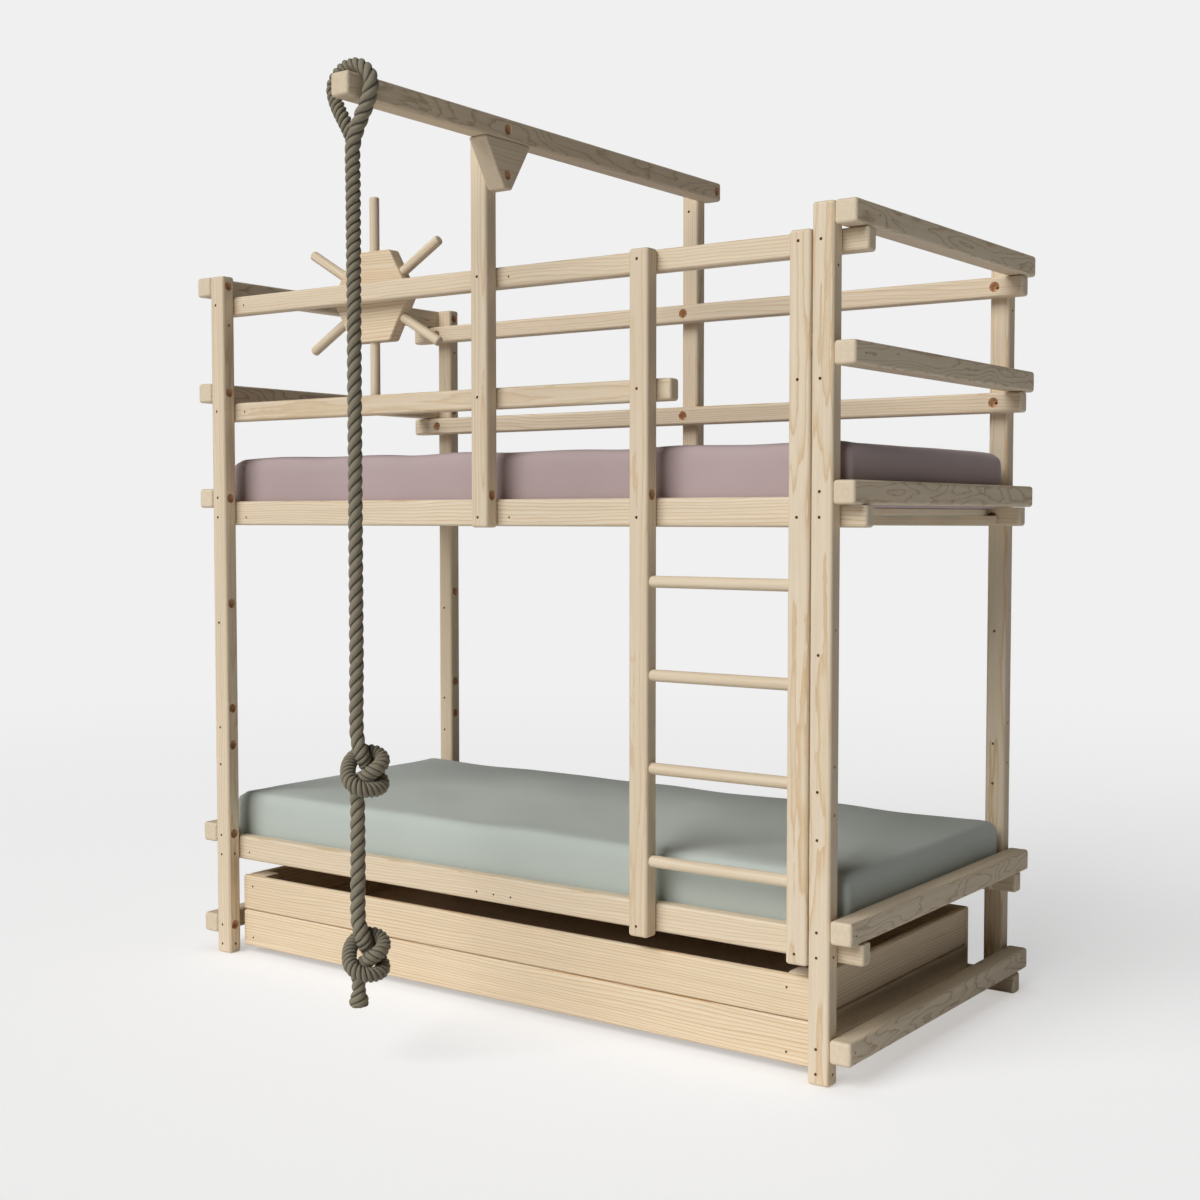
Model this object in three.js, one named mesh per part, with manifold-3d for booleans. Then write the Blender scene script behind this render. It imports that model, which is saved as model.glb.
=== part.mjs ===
// Pine bunk bed with ladder, swing beam, climbing rope, ship's wheel and roll-out bed box.
// Millimetres, +Z up. Every piece is worked out from the sizes below, in a frame that starts
// at the left front post's outer corner; the whole is moved to its base centre at the end.
import * as THREE from 'three';
import { mergeVertices } from 'three/addons/utils/BufferGeometryUtils.js';
import Module from 'manifold-3d';

const wasm = await Module();
wasm.setup();

// Mattresses, which set the length and the width of the bed
const MATTRESS_LENGTH = 2096;
const MATTRESS_WIDTH = 900;
const MATTRESS_HEIGHT = 152;
const MATTRESS_END_GAP = 2;
const MATTRESS_SIDE_GAP = 1;
const MATTRESS_EDGE_ROUND = 40;
const MATTRESS_CROWN = 5;
const MATTRESS_SIDE_DRAW = 4;
// The crown and the drawn-in sides fade out towards the corners by these powers
const CROWN_FADE = 4;
const SIDE_FADE = 6;
const MATTRESS_GRID = [14, 8, 6];
// The rounded band's middle row lies at this share of the band
const BAND_SHARE = 0.45;
// How far the mattress base lies below the top of the bed side rails
const MATTRESS_SINK = 25;

// Timber sections
const POST_ACROSS = 57;
const POST_DEEP = 45;
const POST_HEIGHT = 2046;
const END_RAIL_SIZE = 57;
const RAIL_THICK = 40;
const RAIL_TALL = 56;
const BED_RAIL_TALL = 72;
const BED_RAIL_NOTCH = 21;
const CORNER_ROUND = 8.5;
const END_ROUND = 8;
const ROUND_STEPS = 2;

// Whole bed
const BED_LENGTH = MATTRESS_LENGTH + 2 * MATTRESS_END_GAP;
const JOINT_GAP = 0.3;
const SEAT_GAP = 1.5;
const GUARD_PITCH = 317;
const LOWER_END_RAIL_Z = 337;
const FRONT_OVERHANG_LEFT = 50;
const FRONT_OVERHANG_RIGHT = 65;
const REAR_OVERHANG_LEFT = 75;
const REAR_OVERHANG_RIGHT = 54;

const RAIL_BACK = POST_DEEP + JOINT_GAP + RAIL_THICK;
const BED_DEPTH = MATTRESS_WIDTH + 2 * MATTRESS_SIDE_GAP + 2 * RAIL_BACK;
const BED_MIDDLE = BED_DEPTH / 2;

// Heights of the five levels of end rails and of the long rails seated just under them
const TOP_END_RAIL_Z = POST_HEIGHT - END_RAIL_SIZE;
const GUARD_END_RAIL_Z = TOP_END_RAIL_Z - GUARD_PITCH;
const UPPER_END_RAIL_Z = GUARD_END_RAIL_Z - GUARD_PITCH;
const FLOOR_END_RAIL_Z = RAIL_TALL + SEAT_GAP;
const TOP_RAIL_Z = TOP_END_RAIL_Z - SEAT_GAP - RAIL_TALL;
const MID_RAIL_Z = GUARD_END_RAIL_Z - SEAT_GAP - RAIL_TALL;
const BED_RAIL_SEAT = BED_RAIL_TALL - BED_RAIL_NOTCH;
const UPPER_BED_RAIL_Z = UPPER_END_RAIL_Z - SEAT_GAP - BED_RAIL_SEAT;
const LOWER_BED_RAIL_Z = LOWER_END_RAIL_Z - SEAT_GAP - BED_RAIL_SEAT;

// Counterbored screw holes
const BORE_RADIUS = 14;
const BORE_DEPTH = 24;
const BORE_SIDES = 10;
const SCREW_HOLE_RADIUS = 4;
const SCREW_HOLE_SIDES = 6;
const SPARE_HOLE_Z = 637;
// Cutting tools run this far past the faces that they cut
const OVERCUT = 1;

// Ladder at the right of the front
const LADDER_RAIL_ACROSS = 57;
const LADDER_POST_GAP = 3;
const LADDER_CLEAR = 394;
const LADDER_DROP = 9;
const RUNG_RADIUS = 15;
const RUNG_SIDES = 12;
const RUNG_FIT = 0.3;
const RUNG_TENON = 24;
const RUNG_FIRST_Z = 468;
const RUNG_PITCH = 233;
const RUNG_COUNT = 4;
const GUARD_RAIL_PAST_LADDER = 38;

// Swing posts, beam and gusset
const SWING_POST_X = 1020;
const SWING_POST_DROP = 3.5;
const BEAM_SIZE = 57;
const BEAM_TOP_ABOVE_POSTS = 318;
const BEAM_OVERHANG = 568;
const BEAM_TOP_Z = POST_HEIGHT + BEAM_TOP_ABOVE_POSTS;
const GUSSET_TOP_HALF = 96;
const GUSSET_TIP_HALF = 15;
const GUSSET_HEIGHT = 121;
const GUSSET_HOLE_DROP = 88;
const GUSSET_ROUND = 5;

// Slats on straps, and the ledgers on the side rails that carry them
const SLAT_ACROSS = 70;
const SLAT_THICK = 18;
const SLAT_END_GAP = 2;
const SLAT_COUNT = 14;
const SLAT_MARGIN = 40;
const STRAP_ACROSS = 25;
const STRAP_THICK = 1.5;
const STRAP_FROM_MIDDLE = 300;
const LEDGER_SIZE = 24;
const LEDGER_MARGIN = 12;
// Bodies glued into one piece run this far into each other
const GLUE_DEPTH = 0.5;

// Steering wheel behind the top front rail
const WHEEL_X = 573;
const WHEEL_BELOW_RAIL_MIDDLE = 6.5;
const HUB_APOTHEM = 128;
const HUB_THICK = 42;
const HUB_CORNER_ROUND = 12;
const HUB_EDGE_ROUND = 5;
const SPOKE_COUNT = 6;
const SPOKE_RADIUS = 14;
const SPOKE_SIDES = 12;
const SPOKE_TIP = 283;
const SPOKE_TENON = 38;
const SPOKE_FIT = 0.3;
const SPOKE_END_ROUND = 6;
const AXLE_RADIUS = 6;
const AXLE_FIT = 0.5;
const AXLE_SIDES = 16;
const AXLE_GRIP = 30;
const AXLE_HEAD_RADIUS = 15;
const AXLE_HEAD_THICK = 6;
const COLLAR_RADIUS = 16;
const COLLAR_THICK = 2.4;

// Climbing rope hung over the swing beam by an eye
const ROPE_RADIUS = 17;
const ROPE_SIDES = 10;
const ROPE_FROM_BEAM_END = 45;
// Play between the eye and the beam's corners, which a swing about the beam needs
const EYE_PLAY = 0.5;
const EYE_FOOT_BELOW_BEAM = 132;
// Half an eye: sideways and up from its foot, then degrees around the beam up to its top
const EYE_LEG = [[0, 0], [3, 14], [11, 34], [27, 62], [44, 92]];
const EYE_ANGLES = [-14, 8, 30, 52, 74, 94];
const STEPS_PER_SPAN = 2;
const ROPE_END_Z = 148;
const ROPE_SPAN = 190;
// The rope's gap to itself is measured between samples that lie this many radii apart along it
const GAP_SAMPLES = 1200;
const GAP_SKIP = 3.3;
const KNOT_HEIGHTS = [719, 274];
// The knots face the front right corner of the room
const KNOT_TURN = THREE.MathUtils.degToRad(36);
// Middle of the rope through an overhand knot: sideways, up from the knot's middle, forwards
const KNOT_ROUTE = [
  [0, 86, 1], [5, 63, 6], [12, 42, 9], [18, 24, 3], [26, 8, -11], [41, -8, -19],
  [55, -24, -11], [58, -35, 9], [43, -40, 32], [15, -36, 46], [-11, -20, 41], [-20, 4, 16],
  [-15, 25, -14], [7, 40, -29], [36, 41, -26], [56, 32, -10], [60, 20, 10], [48, 8, 24],
  [30, -5, 25], [14, -18, 14], [3, -35, 5], [-1, -58, 1], [0, -84, -1],
];

// Bed box on wheels, from the back of the front posts to near the rear floor rail
const BOX_SIDE_GAP = 11;
const BOX_REAR_GAP = 32;
const BOX_BOARD_THICK = 20;
const BOX_FLOOR_CLEARANCE = 21;
const BOX_LOWER_TALL = 110;
const BOX_BOARD_SLOT = 2;
const BOX_UPPER_TALL = 105;
const BOX_BOARD_ROUND = 5;
const BOX_BLOCK_SIZE = 57;
const BOX_PANEL_THICK = 8;
const BOX_PANEL_ABOVE_WHEEL = 4;
const BOX_WHEEL_RADIUS = 35;
const BOX_WHEEL_SIDES = 24;
const BOX_WHEEL_WIDE = 20;
const BOX_WHEEL_SIDE_FIT = 1;
const BOX_WHEEL_INSET = 90;
const STUB_RADIUS = 5;
const STUB_SIDES = 12;
const STUB_LENGTH = 15;
const STUB_FIT = 0.5;

// Finishes, one colour per kind of surface
const PINE = { color: '#dccbb0', roughness: 0.62, metalness: 0 };
const PINE_INSIDE = { color: '#8a6f55', roughness: 0.8, metalness: 0 };
const CLOTH_UPPER = { color: '#b8a5a5', roughness: 0.95, metalness: 0 };
const CLOTH_LOWER = { color: '#bcc4bd', roughness: 0.95, metalness: 0 };
const HEMP = { color: '#6e6758', roughness: 0.95, metalness: 0 };
const STEEL = { color: '#8d8f91', roughness: 0.4, metalness: 0.9 };
const TYRE = { color: '#3a3a3a', roughness: 0.7, metalness: 0 };

const group = new THREE.Group();
group.name = 'bunk_bed';

// Joining and cutting of closed bodies
function toSolid(geometry) {
  const bare = geometry.clone();
  bare.deleteAttribute('normal');
  bare.deleteAttribute('uv');
  const merged = mergeVertices(bare, 1e-4);
  return new wasm.Manifold(new wasm.Mesh({
    numProp: 3,
    vertProperties: new Float32Array(merged.attributes.position.array),
    triVerts: new Uint32Array(merged.index.array),
  }));
}

function toGeometry(solid) {
  const mesh = solid.getMesh();
  const geometry = new THREE.BufferGeometry();
  geometry.setAttribute('position', new THREE.BufferAttribute(mesh.vertProperties, 3));
  geometry.setIndex(new THREE.BufferAttribute(mesh.triVerts, 1));
  return geometry;
}

function cutFrom(geometry, tools) {
  if (tools.length === 0) {
    return geometry;
  }
  let solid = toSolid(geometry);
  for (const tool of tools) {
    solid = solid.subtract(toSolid(tool));
  }
  return toGeometry(solid);
}

function joinAll(geometries) {
  let solid = toSolid(geometries[0]);
  for (const geometry of geometries.slice(1)) {
    solid = solid.add(toSolid(geometry));
  }
  return toGeometry(solid);
}

function bareGeometry(geometry) {
  const bare = geometry.clone();
  bare.deleteAttribute('normal');
  bare.deleteAttribute('uv');
  return mergeVertices(bare, 1e-4);
}

function addNode(name, geometry, finish) {
  const mesh = new THREE.Mesh(bareGeometry(geometry), new THREE.MeshStandardMaterial(finish));
  mesh.name = name;
  group.add(mesh);
}

// Outline of a rectangle with rounded corners, centred on the origin
function roundedRectangle(width, height, radius, steps) {
  const points = [];
  const quarter = Math.PI / 2;
  const corners = [[1, 1], [-1, 1], [-1, -1], [1, -1]];
  for (const [turn, [sx, sy]] of corners.entries()) {
    for (let i = 0; i <= steps; i += 1) {
      const angle = quarter * (turn + i / steps);
      points.push(new THREE.Vector2(
        sx * (width / 2 - radius) + radius * Math.cos(angle),
        sy * (height / 2 - radius) + radius * Math.sin(angle),
      ));
    }
  }
  return new THREE.Shape(points);
}

// Extrusion along Z of an outline, from z = 0 to its length, with its ends rounded over
function extrude(shape, length, endRound, steps) {
  const rounded = endRound > 0;
  const geometry = new THREE.ExtrudeGeometry(shape, {
    depth: length - 2 * endRound,
    bevelEnabled: rounded,
    bevelThickness: endRound,
    bevelSize: endRound,
    bevelOffset: -endRound,
    bevelSegments: steps,
    curveSegments: 1,
  });
  geometry.translate(0, 0, endRound);
  return geometry;
}

// Turns a body that runs along +Z so that it runs along +X or +Y, its outline's X and Y axes
// becoming the two axes that follow
function turnTo(geometry, axis) {
  const turns = {
    x: new THREE.Matrix4().makeBasis(
      new THREE.Vector3(0, 1, 0),
      new THREE.Vector3(0, 0, 1),
      new THREE.Vector3(1, 0, 0),
    ),
    y: new THREE.Matrix4().makeBasis(
      new THREE.Vector3(0, 0, 1),
      new THREE.Vector3(1, 0, 0),
      new THREE.Vector3(0, 1, 0),
    ),
    z: new THREE.Matrix4(),
  };
  return geometry.applyMatrix4(turns[axis]);
}

// A timber given by its low corner and its sizes along X, Y and Z; its grain runs along axis
function timber(axis, low, size, cornerRound = CORNER_ROUND, endRound = END_ROUND,
  steps = ROUND_STEPS) {
  const [sx, sy, sz] = size;
  const sections = { x: [sy, sz, sx], y: [sz, sx, sy], z: [sx, sy, sz] };
  const [width, height, length] = sections[axis];
  const shape = roundedRectangle(width, height, cornerRound, steps);
  const geometry = turnTo(extrude(shape, length, endRound, steps), axis);
  const starts = { x: [0, sy / 2, sz / 2], y: [sx / 2, 0, sz / 2], z: [sx / 2, sy / 2, 0] };
  const [dx, dy, dz] = starts[axis];
  return geometry.translate(low[0] + dx, low[1] + dy, low[2] + dz);
}

function block(low, size) {
  const geometry = new THREE.BoxGeometry(size[0], size[1], size[2]);
  return geometry.translate(low[0] + size[0] / 2, low[1] + size[1] / 2, low[2] + size[2] / 2);
}

// A round bar from one point along an axis; a negative length runs the other way
function roundBar(axis, start, length, radius, sides) {
  const geometry = new THREE.CylinderGeometry(radius, radius, Math.abs(length), sides);
  geometry.rotateX(Math.PI / 2);
  turnTo(geometry, axis);
  const middle = { x: 0, y: 0, z: 0 };
  middle[axis] = length / 2;
  return geometry.translate(start[0] + middle.x, start[1] + middle.y, start[2] + middle.z);
}

function shift(point, axis, amount) {
  const moved = [...point];
  moved['xyz'.indexOf(axis)] += amount;
  return moved;
}

// The tools that cut a screw hole whose counterbore opens at mouth and runs along sign * axis
function screwHole(axis, sign, mouth, thickness) {
  return [
    roundBar(axis, shift(mouth, axis, -sign * OVERCUT), sign * (BORE_DEPTH + OVERCUT),
      BORE_RADIUS, BORE_SIDES),
    roundBar(axis, shift(mouth, axis, sign * (BORE_DEPTH - OVERCUT)),
      sign * (thickness - BORE_DEPTH + 2 * OVERCUT), SCREW_HOLE_RADIUS, SCREW_HOLE_SIDES),
  ];
}

// Timbers are collected with the tools that cut their holes, then cut and added at the end
const pieces = new Map();

function piece(name, geometry) {
  pieces.set(name, { geometry, tools: [] });
}

function cutLater(name, ...tools) {
  pieces.get(name).tools.push(...tools);
}

// Four corner posts
const POST_MIDDLE = POST_ACROSS / 2;
const FRONT_LINE = POST_DEEP / 2;
const REAR_LINE = BED_DEPTH - POST_DEEP / 2;
const sides = [
  { side: 'left', low: 0, outward: -1, inner: POST_ACROSS },
  { side: 'right', low: BED_LENGTH - POST_ACROSS, outward: 1, inner: BED_LENGTH - POST_ACROSS },
];
const rows = [
  { row: 'front', low: 0, line: FRONT_LINE },
  { row: 'rear', low: BED_DEPTH - POST_DEEP, line: REAR_LINE },
];
for (const { side, low: x } of sides) {
  for (const { row, low: y } of rows) {
    piece(`post_${row}_${side}`, timber('z', [x, y, 0], [POST_ACROSS, POST_DEEP, POST_HEIGHT]));
  }
}

// End rails on the posts' outer faces, screwed on from counterbores in the posts' inner faces
const endLevels = [
  ['top', TOP_END_RAIL_Z],
  ['guard', GUARD_END_RAIL_Z],
  ['upper', UPPER_END_RAIL_Z],
  ['lower', LOWER_END_RAIL_Z],
  ['floor', FLOOR_END_RAIL_Z],
];
const UPPER_HOLE_Z = UPPER_END_RAIL_Z + END_RAIL_SIZE / 2;
const spareHoles = [UPPER_HOLE_Z - GUARD_PITCH, UPPER_HOLE_Z - 2 * GUARD_PITCH, SPARE_HOLE_Z];
for (const { side, outward, inner } of sides) {
  const x = outward < 0 ? -JOINT_GAP - END_RAIL_SIZE : BED_LENGTH + JOINT_GAP;
  for (const [level, z] of endLevels) {
    const name = `${side}_end_rail_${level}`;
    piece(name, timber('y', [x, 0, z], [END_RAIL_SIZE, BED_DEPTH, END_RAIL_SIZE]));
    for (const { row, line } of rows) {
      const mouth = [inner, line, z + END_RAIL_SIZE / 2];
      cutLater(`post_${row}_${side}`, ...screwHole('x', outward, mouth, POST_ACROSS));
    }
  }
  for (const { row, line } of rows) {
    for (const z of spareHoles) {
      cutLater(`post_${row}_${side}`,
        ...screwHole('x', outward, [inner, line, z], POST_ACROSS));
    }
  }
}

// Swing posts inside the row of posts, front and rear
const SWING_POST_Z = UPPER_BED_RAIL_Z - SWING_POST_DROP;
const SWING_POST_TALL = BEAM_TOP_Z - SWING_POST_Z;
const SWING_MIDDLE = SWING_POST_X + POST_ACROSS / 2;
for (const { row, low } of rows) {
  const size = [POST_ACROSS, POST_DEEP, SWING_POST_TALL];
  piece(`swing_post_${row}`, timber('z', [SWING_POST_X, low, SWING_POST_Z], size));
}

// Ladder rails
const LADDER_RIGHT_X = BED_LENGTH - POST_ACROSS - LADDER_POST_GAP - LADDER_RAIL_ACROSS;
const LADDER_LEFT_X = LADDER_RIGHT_X - LADDER_CLEAR - LADDER_RAIL_ACROSS;
const LADDER_Z = LOWER_BED_RAIL_Z - LADDER_DROP;
const LADDER_TALL = TOP_RAIL_Z + RAIL_TALL - LADDER_Z;
const ladderRails = [['left', LADDER_LEFT_X], ['right', LADDER_RIGHT_X]];
for (const [side, x] of ladderRails) {
  const size = [LADDER_RAIL_ACROSS, POST_DEEP, LADDER_TALL];
  piece(`ladder_rail_${side}`, timber('z', [x, 0, LADDER_Z], size));
}

// Long rails behind the posts; the bed side rails are notched on top past the posts
const FRONT_RAIL_Y = POST_DEEP + JOINT_GAP;
const REAR_RAIL_Y = BED_DEPTH - FRONT_RAIL_Y - RAIL_THICK;
const frontStart = -FRONT_OVERHANG_LEFT;
const frontEnd = BED_LENGTH + FRONT_OVERHANG_RIGHT;
const guardEnd = LADDER_LEFT_X + LADDER_RAIL_ACROSS + GUARD_RAIL_PAST_LADDER;
const rearStart = -REAR_OVERHANG_LEFT;
const rearEnd = BED_LENGTH + REAR_OVERHANG_RIGHT;
const POST_LEFT = POST_MIDDLE;
const POST_RIGHT = BED_LENGTH - POST_MIDDLE;
const LADDER_LEFT = LADDER_LEFT_X + LADDER_RAIL_ACROSS / 2;
const LADDER_RIGHT = LADDER_RIGHT_X + LADDER_RAIL_ACROSS / 2;
const alongFront = { row: 'front', x0: frontStart, x1: frontEnd };
const alongRear = { row: 'rear', x0: rearStart, x1: rearEnd };
const guard = { tall: RAIL_TALL };
const bedSide = { tall: BED_RAIL_TALL };
const allFront = [POST_LEFT, SWING_MIDDLE, LADDER_LEFT, LADDER_RIGHT, POST_RIGHT];
const allRear = [POST_LEFT, SWING_MIDDLE, POST_RIGHT];
const longRails = [
  { name: 'front_guard_rail_top', ...alongFront, ...guard, z: TOP_RAIL_Z, on: allFront },
  { name: 'front_guard_rail_mid', ...alongFront, ...guard, x1: guardEnd, z: MID_RAIL_Z,
    on: [POST_LEFT, SWING_MIDDLE, LADDER_LEFT] },
  { name: 'front_bed_rail_upper', ...alongFront, ...bedSide, z: UPPER_BED_RAIL_Z, on: allFront },
  { name: 'front_bed_rail_lower', ...alongFront, ...bedSide, z: LOWER_BED_RAIL_Z,
    on: [POST_LEFT, LADDER_LEFT, LADDER_RIGHT, POST_RIGHT] },
  { name: 'rear_guard_rail_top', ...alongRear, ...guard, z: TOP_RAIL_Z, on: allRear },
  { name: 'rear_guard_rail_mid', ...alongRear, ...guard, z: MID_RAIL_Z, on: allRear },
  { name: 'rear_bed_rail_upper', ...alongRear, ...bedSide, z: UPPER_BED_RAIL_Z, on: allRear },
  { name: 'rear_bed_rail_lower', ...alongRear, ...bedSide, z: LOWER_BED_RAIL_Z,
    on: [POST_LEFT, POST_RIGHT] },
  { name: 'rear_floor_rail', ...alongRear, ...guard, z: 0, on: [POST_LEFT, POST_RIGHT] },
];

// What is cut off the top of a bed side rail's two ends, where the end rails lie on it
function notches(rail, y) {
  const seat = rail.z + BED_RAIL_SEAT;
  const across = RAIL_THICK + 2 * OVERCUT;
  const up = BED_RAIL_NOTCH + OVERCUT;
  return [
    block([rail.x0 - OVERCUT, y - OVERCUT, seat], [OVERCUT - rail.x0, across, up]),
    block([BED_LENGTH, y - OVERCUT, seat], [rail.x1 - BED_LENGTH + OVERCUT, across, up]),
  ];
}

// The strip glued inside a bed side rail, with its top a joint gap under the slats
function ledger(rail, y) {
  const top = rail.z + BED_RAIL_TALL - MATTRESS_SINK - SLAT_THICK - 2 * JOINT_GAP;
  const start = rail.row === 'front' ? y + RAIL_THICK - GLUE_DEPTH : y - LEDGER_SIZE;
  return block([LEDGER_MARGIN, start, top - LEDGER_SIZE],
    [BED_LENGTH - 2 * LEDGER_MARGIN, LEDGER_SIZE + GLUE_DEPTH, LEDGER_SIZE]);
}

for (const rail of longRails) {
  const front = rail.row === 'front';
  const y = front ? FRONT_RAIL_Y : REAR_RAIL_Y;
  const bar = timber('x', [rail.x0, y, rail.z], [rail.x1 - rail.x0, RAIL_THICK, rail.tall]);
  const isBedSide = rail.tall === BED_RAIL_TALL;
  piece(rail.name, isBedSide ? joinAll([bar, ledger(rail, y)]) : bar);
  if (isBedSide) {
    cutLater(rail.name, ...notches(rail, y));
  }
  const mouthY = front ? y + RAIL_THICK : y;
  for (const x of rail.on) {
    const mouth = [x, mouthY, rail.z + rail.tall / 2];
    cutLater(rail.name, ...screwHole('y', front ? -1 : 1, mouth, RAIL_THICK));
  }
}

// Ladder rungs, let into both ladder rails
const rungStart = LADDER_LEFT_X + LADDER_RAIL_ACROSS - RUNG_TENON + RUNG_FIT;
const rungLength = LADDER_CLEAR + 2 * (RUNG_TENON - RUNG_FIT);
for (let i = 0; i < RUNG_COUNT; i += 1) {
  const z = RUNG_FIRST_Z + i * RUNG_PITCH;
  const rung = roundBar('x', [rungStart, FRONT_LINE, z], rungLength, RUNG_RADIUS, RUNG_SIDES);
  addNode(`ladder_rung_${i + 1}`, rung, PINE);
  const holeRadius = RUNG_RADIUS + RUNG_FIT;
  const leftFace = LADDER_LEFT_X + LADDER_RAIL_ACROSS;
  const holeDepth = RUNG_TENON + OVERCUT;
  cutLater('ladder_rail_left',
    roundBar('x', [leftFace + OVERCUT, FRONT_LINE, z], -holeDepth, holeRadius, RUNG_SIDES));
  cutLater('ladder_rail_right',
    roundBar('x', [LADDER_RIGHT_X - OVERCUT, FRONT_LINE, z], holeDepth, holeRadius, RUNG_SIDES));
}

// Swing beam on the right faces of the swing posts, and the gusset under it
const BEAM_X = SWING_POST_X + POST_ACROSS + JOINT_GAP;
const BEAM_Z = BEAM_TOP_Z - BEAM_SIZE;
const BEAM_MIDDLE_Z = BEAM_Z + BEAM_SIZE / 2;
piece('swing_beam', timber('y', [BEAM_X, -BEAM_OVERHANG, BEAM_Z],
  [BEAM_SIZE, BEAM_OVERHANG + BED_DEPTH, BEAM_SIZE]));
for (const { line } of rows) {
  const mouth = [BEAM_X + BEAM_SIZE, line, BEAM_MIDDLE_Z];
  cutLater('swing_beam', ...screwHole('x', -1, mouth, BEAM_SIZE));
}

const GUSSET_TOP_Z = BEAM_Z - JOINT_GAP;
const gussetOutline = new THREE.Shape([
  new THREE.Vector2(-GUSSET_TOP_HALF, 0),
  new THREE.Vector2(-GUSSET_TIP_HALF, -GUSSET_HEIGHT),
  new THREE.Vector2(GUSSET_TIP_HALF, -GUSSET_HEIGHT),
  new THREE.Vector2(GUSSET_TOP_HALF, 0),
]);
const gusset = turnTo(extrude(gussetOutline, BEAM_SIZE, GUSSET_ROUND, ROUND_STEPS), 'x');
gusset.translate(BEAM_X, FRONT_LINE, GUSSET_TOP_Z);
piece('swing_gusset', gusset);
cutLater('swing_gusset', ...screwHole('x', -1,
  [BEAM_X + BEAM_SIZE, FRONT_LINE, GUSSET_TOP_Z - GUSSET_HOLE_DROP], BEAM_SIZE));

// Slats and mattresses of both beds
const BED_INNER_Y = FRONT_RAIL_Y + RAIL_THICK;
const BED_INNER_WIDE = BED_DEPTH - 2 * BED_INNER_Y;

// A soft block: rounded edges, a crowned top and sides drawn in at half height
function mattress(low) {
  const half = [MATTRESS_LENGTH / 2, MATTRESS_WIDTH / 2, MATTRESS_HEIGHT / 2];
  const rim = 1 - MATTRESS_EDGE_ROUND / half[2];
  const geometry = new THREE.BoxGeometry(2, 2, 2, ...MATTRESS_GRID);
  const position = geometry.attributes.position;
  const point = new THREE.Vector3();
  for (let i = 0; i < position.count; i += 1) {
    point.fromBufferAttribute(position, i);
    const raw = [point.x, point.y, point.z];
    const at = raw.map((value, k) => edgeSpread(value, MATTRESS_GRID[k], half[k]));
    const core = at.map((value, k) => THREE.MathUtils.clamp(
      value,
      MATTRESS_EDGE_ROUND - half[k],
      half[k] - MATTRESS_EDGE_ROUND,
    ));
    const out = new THREE.Vector3(at[0] - core[0], at[1] - core[1], at[2] - core[2]);
    out.setLength(MATTRESS_EDGE_ROUND);
    const u = at[0] / half[0];
    const v = at[1] / half[1];
    const w = at[2] / half[2];
    const rise = w > 0 ? MATTRESS_CROWN * w : 0;
    const crown = rise * (1 - u ** CROWN_FADE) * (1 - v ** CROWN_FADE);
    const draw = MATTRESS_SIDE_DRAW * Math.max(0, 1 - (w / rim) ** 2);
    const x = core[0] + out.x - Math.sign(u) * draw * Math.abs(u) ** SIDE_FADE;
    const y = core[1] + out.y - Math.sign(v) * draw * Math.abs(v) ** SIDE_FADE;
    position.setXYZ(i, x, y, core[2] + out.z + crown);
  }
  return geometry.translate(low[0] + half[0], low[1] + half[1], low[2] + half[2]);
}

// Moves the outer two rows of a face's grid into the band that is rounded over
function edgeSpread(value, count, half) {
  const step = 2 / count;
  const fromEdge = (1 - Math.abs(value)) / step;
  const band = [0, MATTRESS_EDGE_ROUND * BAND_SHARE, MATTRESS_EDGE_ROUND];
  const rows = band.length - 1;
  const near = Math.round(fromEdge);
  if (near <= rows) {
    return Math.sign(value) * (half - band[near]);
  }
  const inner = 1 - rows * step;
  return (value / inner) * (half - MATTRESS_EDGE_ROUND);
}

// Slats side by side on the ledgers, held at their pitch by two straps under them
function slatMat(slatZ) {
  const span = BED_LENGTH - 2 * SLAT_MARGIN;
  const pitch = (span - SLAT_ACROSS) / (SLAT_COUNT - 1);
  const bodies = [];
  for (let i = 0; i < SLAT_COUNT; i += 1) {
    bodies.push(block([SLAT_MARGIN + i * pitch, BED_INNER_Y + SLAT_END_GAP, slatZ],
      [SLAT_ACROSS, BED_INNER_WIDE - 2 * SLAT_END_GAP, SLAT_THICK]));
  }
  for (const fromMiddle of [-STRAP_FROM_MIDDLE, STRAP_FROM_MIDDLE]) {
    const y = BED_MIDDLE + fromMiddle - STRAP_ACROSS / 2;
    bodies.push(block([SLAT_MARGIN + OVERCUT, y, slatZ - STRAP_THICK],
      [span - 2 * OVERCUT, STRAP_ACROSS, STRAP_THICK + GLUE_DEPTH]));
  }
  return joinAll(bodies);
}

const beds = [['upper', UPPER_BED_RAIL_Z, CLOTH_UPPER], ['lower', LOWER_BED_RAIL_Z, CLOTH_LOWER]];
for (const [level, railZ, cloth] of beds) {
  const mattressZ = railZ + BED_RAIL_TALL - MATTRESS_SINK;
  addNode(`${level}_slat_mat`, slatMat(mattressZ - JOINT_GAP - SLAT_THICK), PINE);
  addNode(`${level}_mattress`,
    mattress([MATTRESS_END_GAP, BED_INNER_Y + MATTRESS_SIDE_GAP, mattressZ]), cloth);
}

// Steering wheel: hexagonal hub, six round spokes in its edges, axle bolt into the top rail
const WHEEL_Z = TOP_RAIL_Z + RAIL_TALL / 2 - WHEEL_BELOW_RAIL_MIDDLE;
const HUB_FRONT = BED_INNER_Y + COLLAR_THICK + 2 * JOINT_GAP;
const SPOKE_LINE = HUB_FRONT + HUB_THICK / 2;
const hubCorner = HUB_APOTHEM / Math.cos(Math.PI / SPOKE_COUNT);

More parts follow.
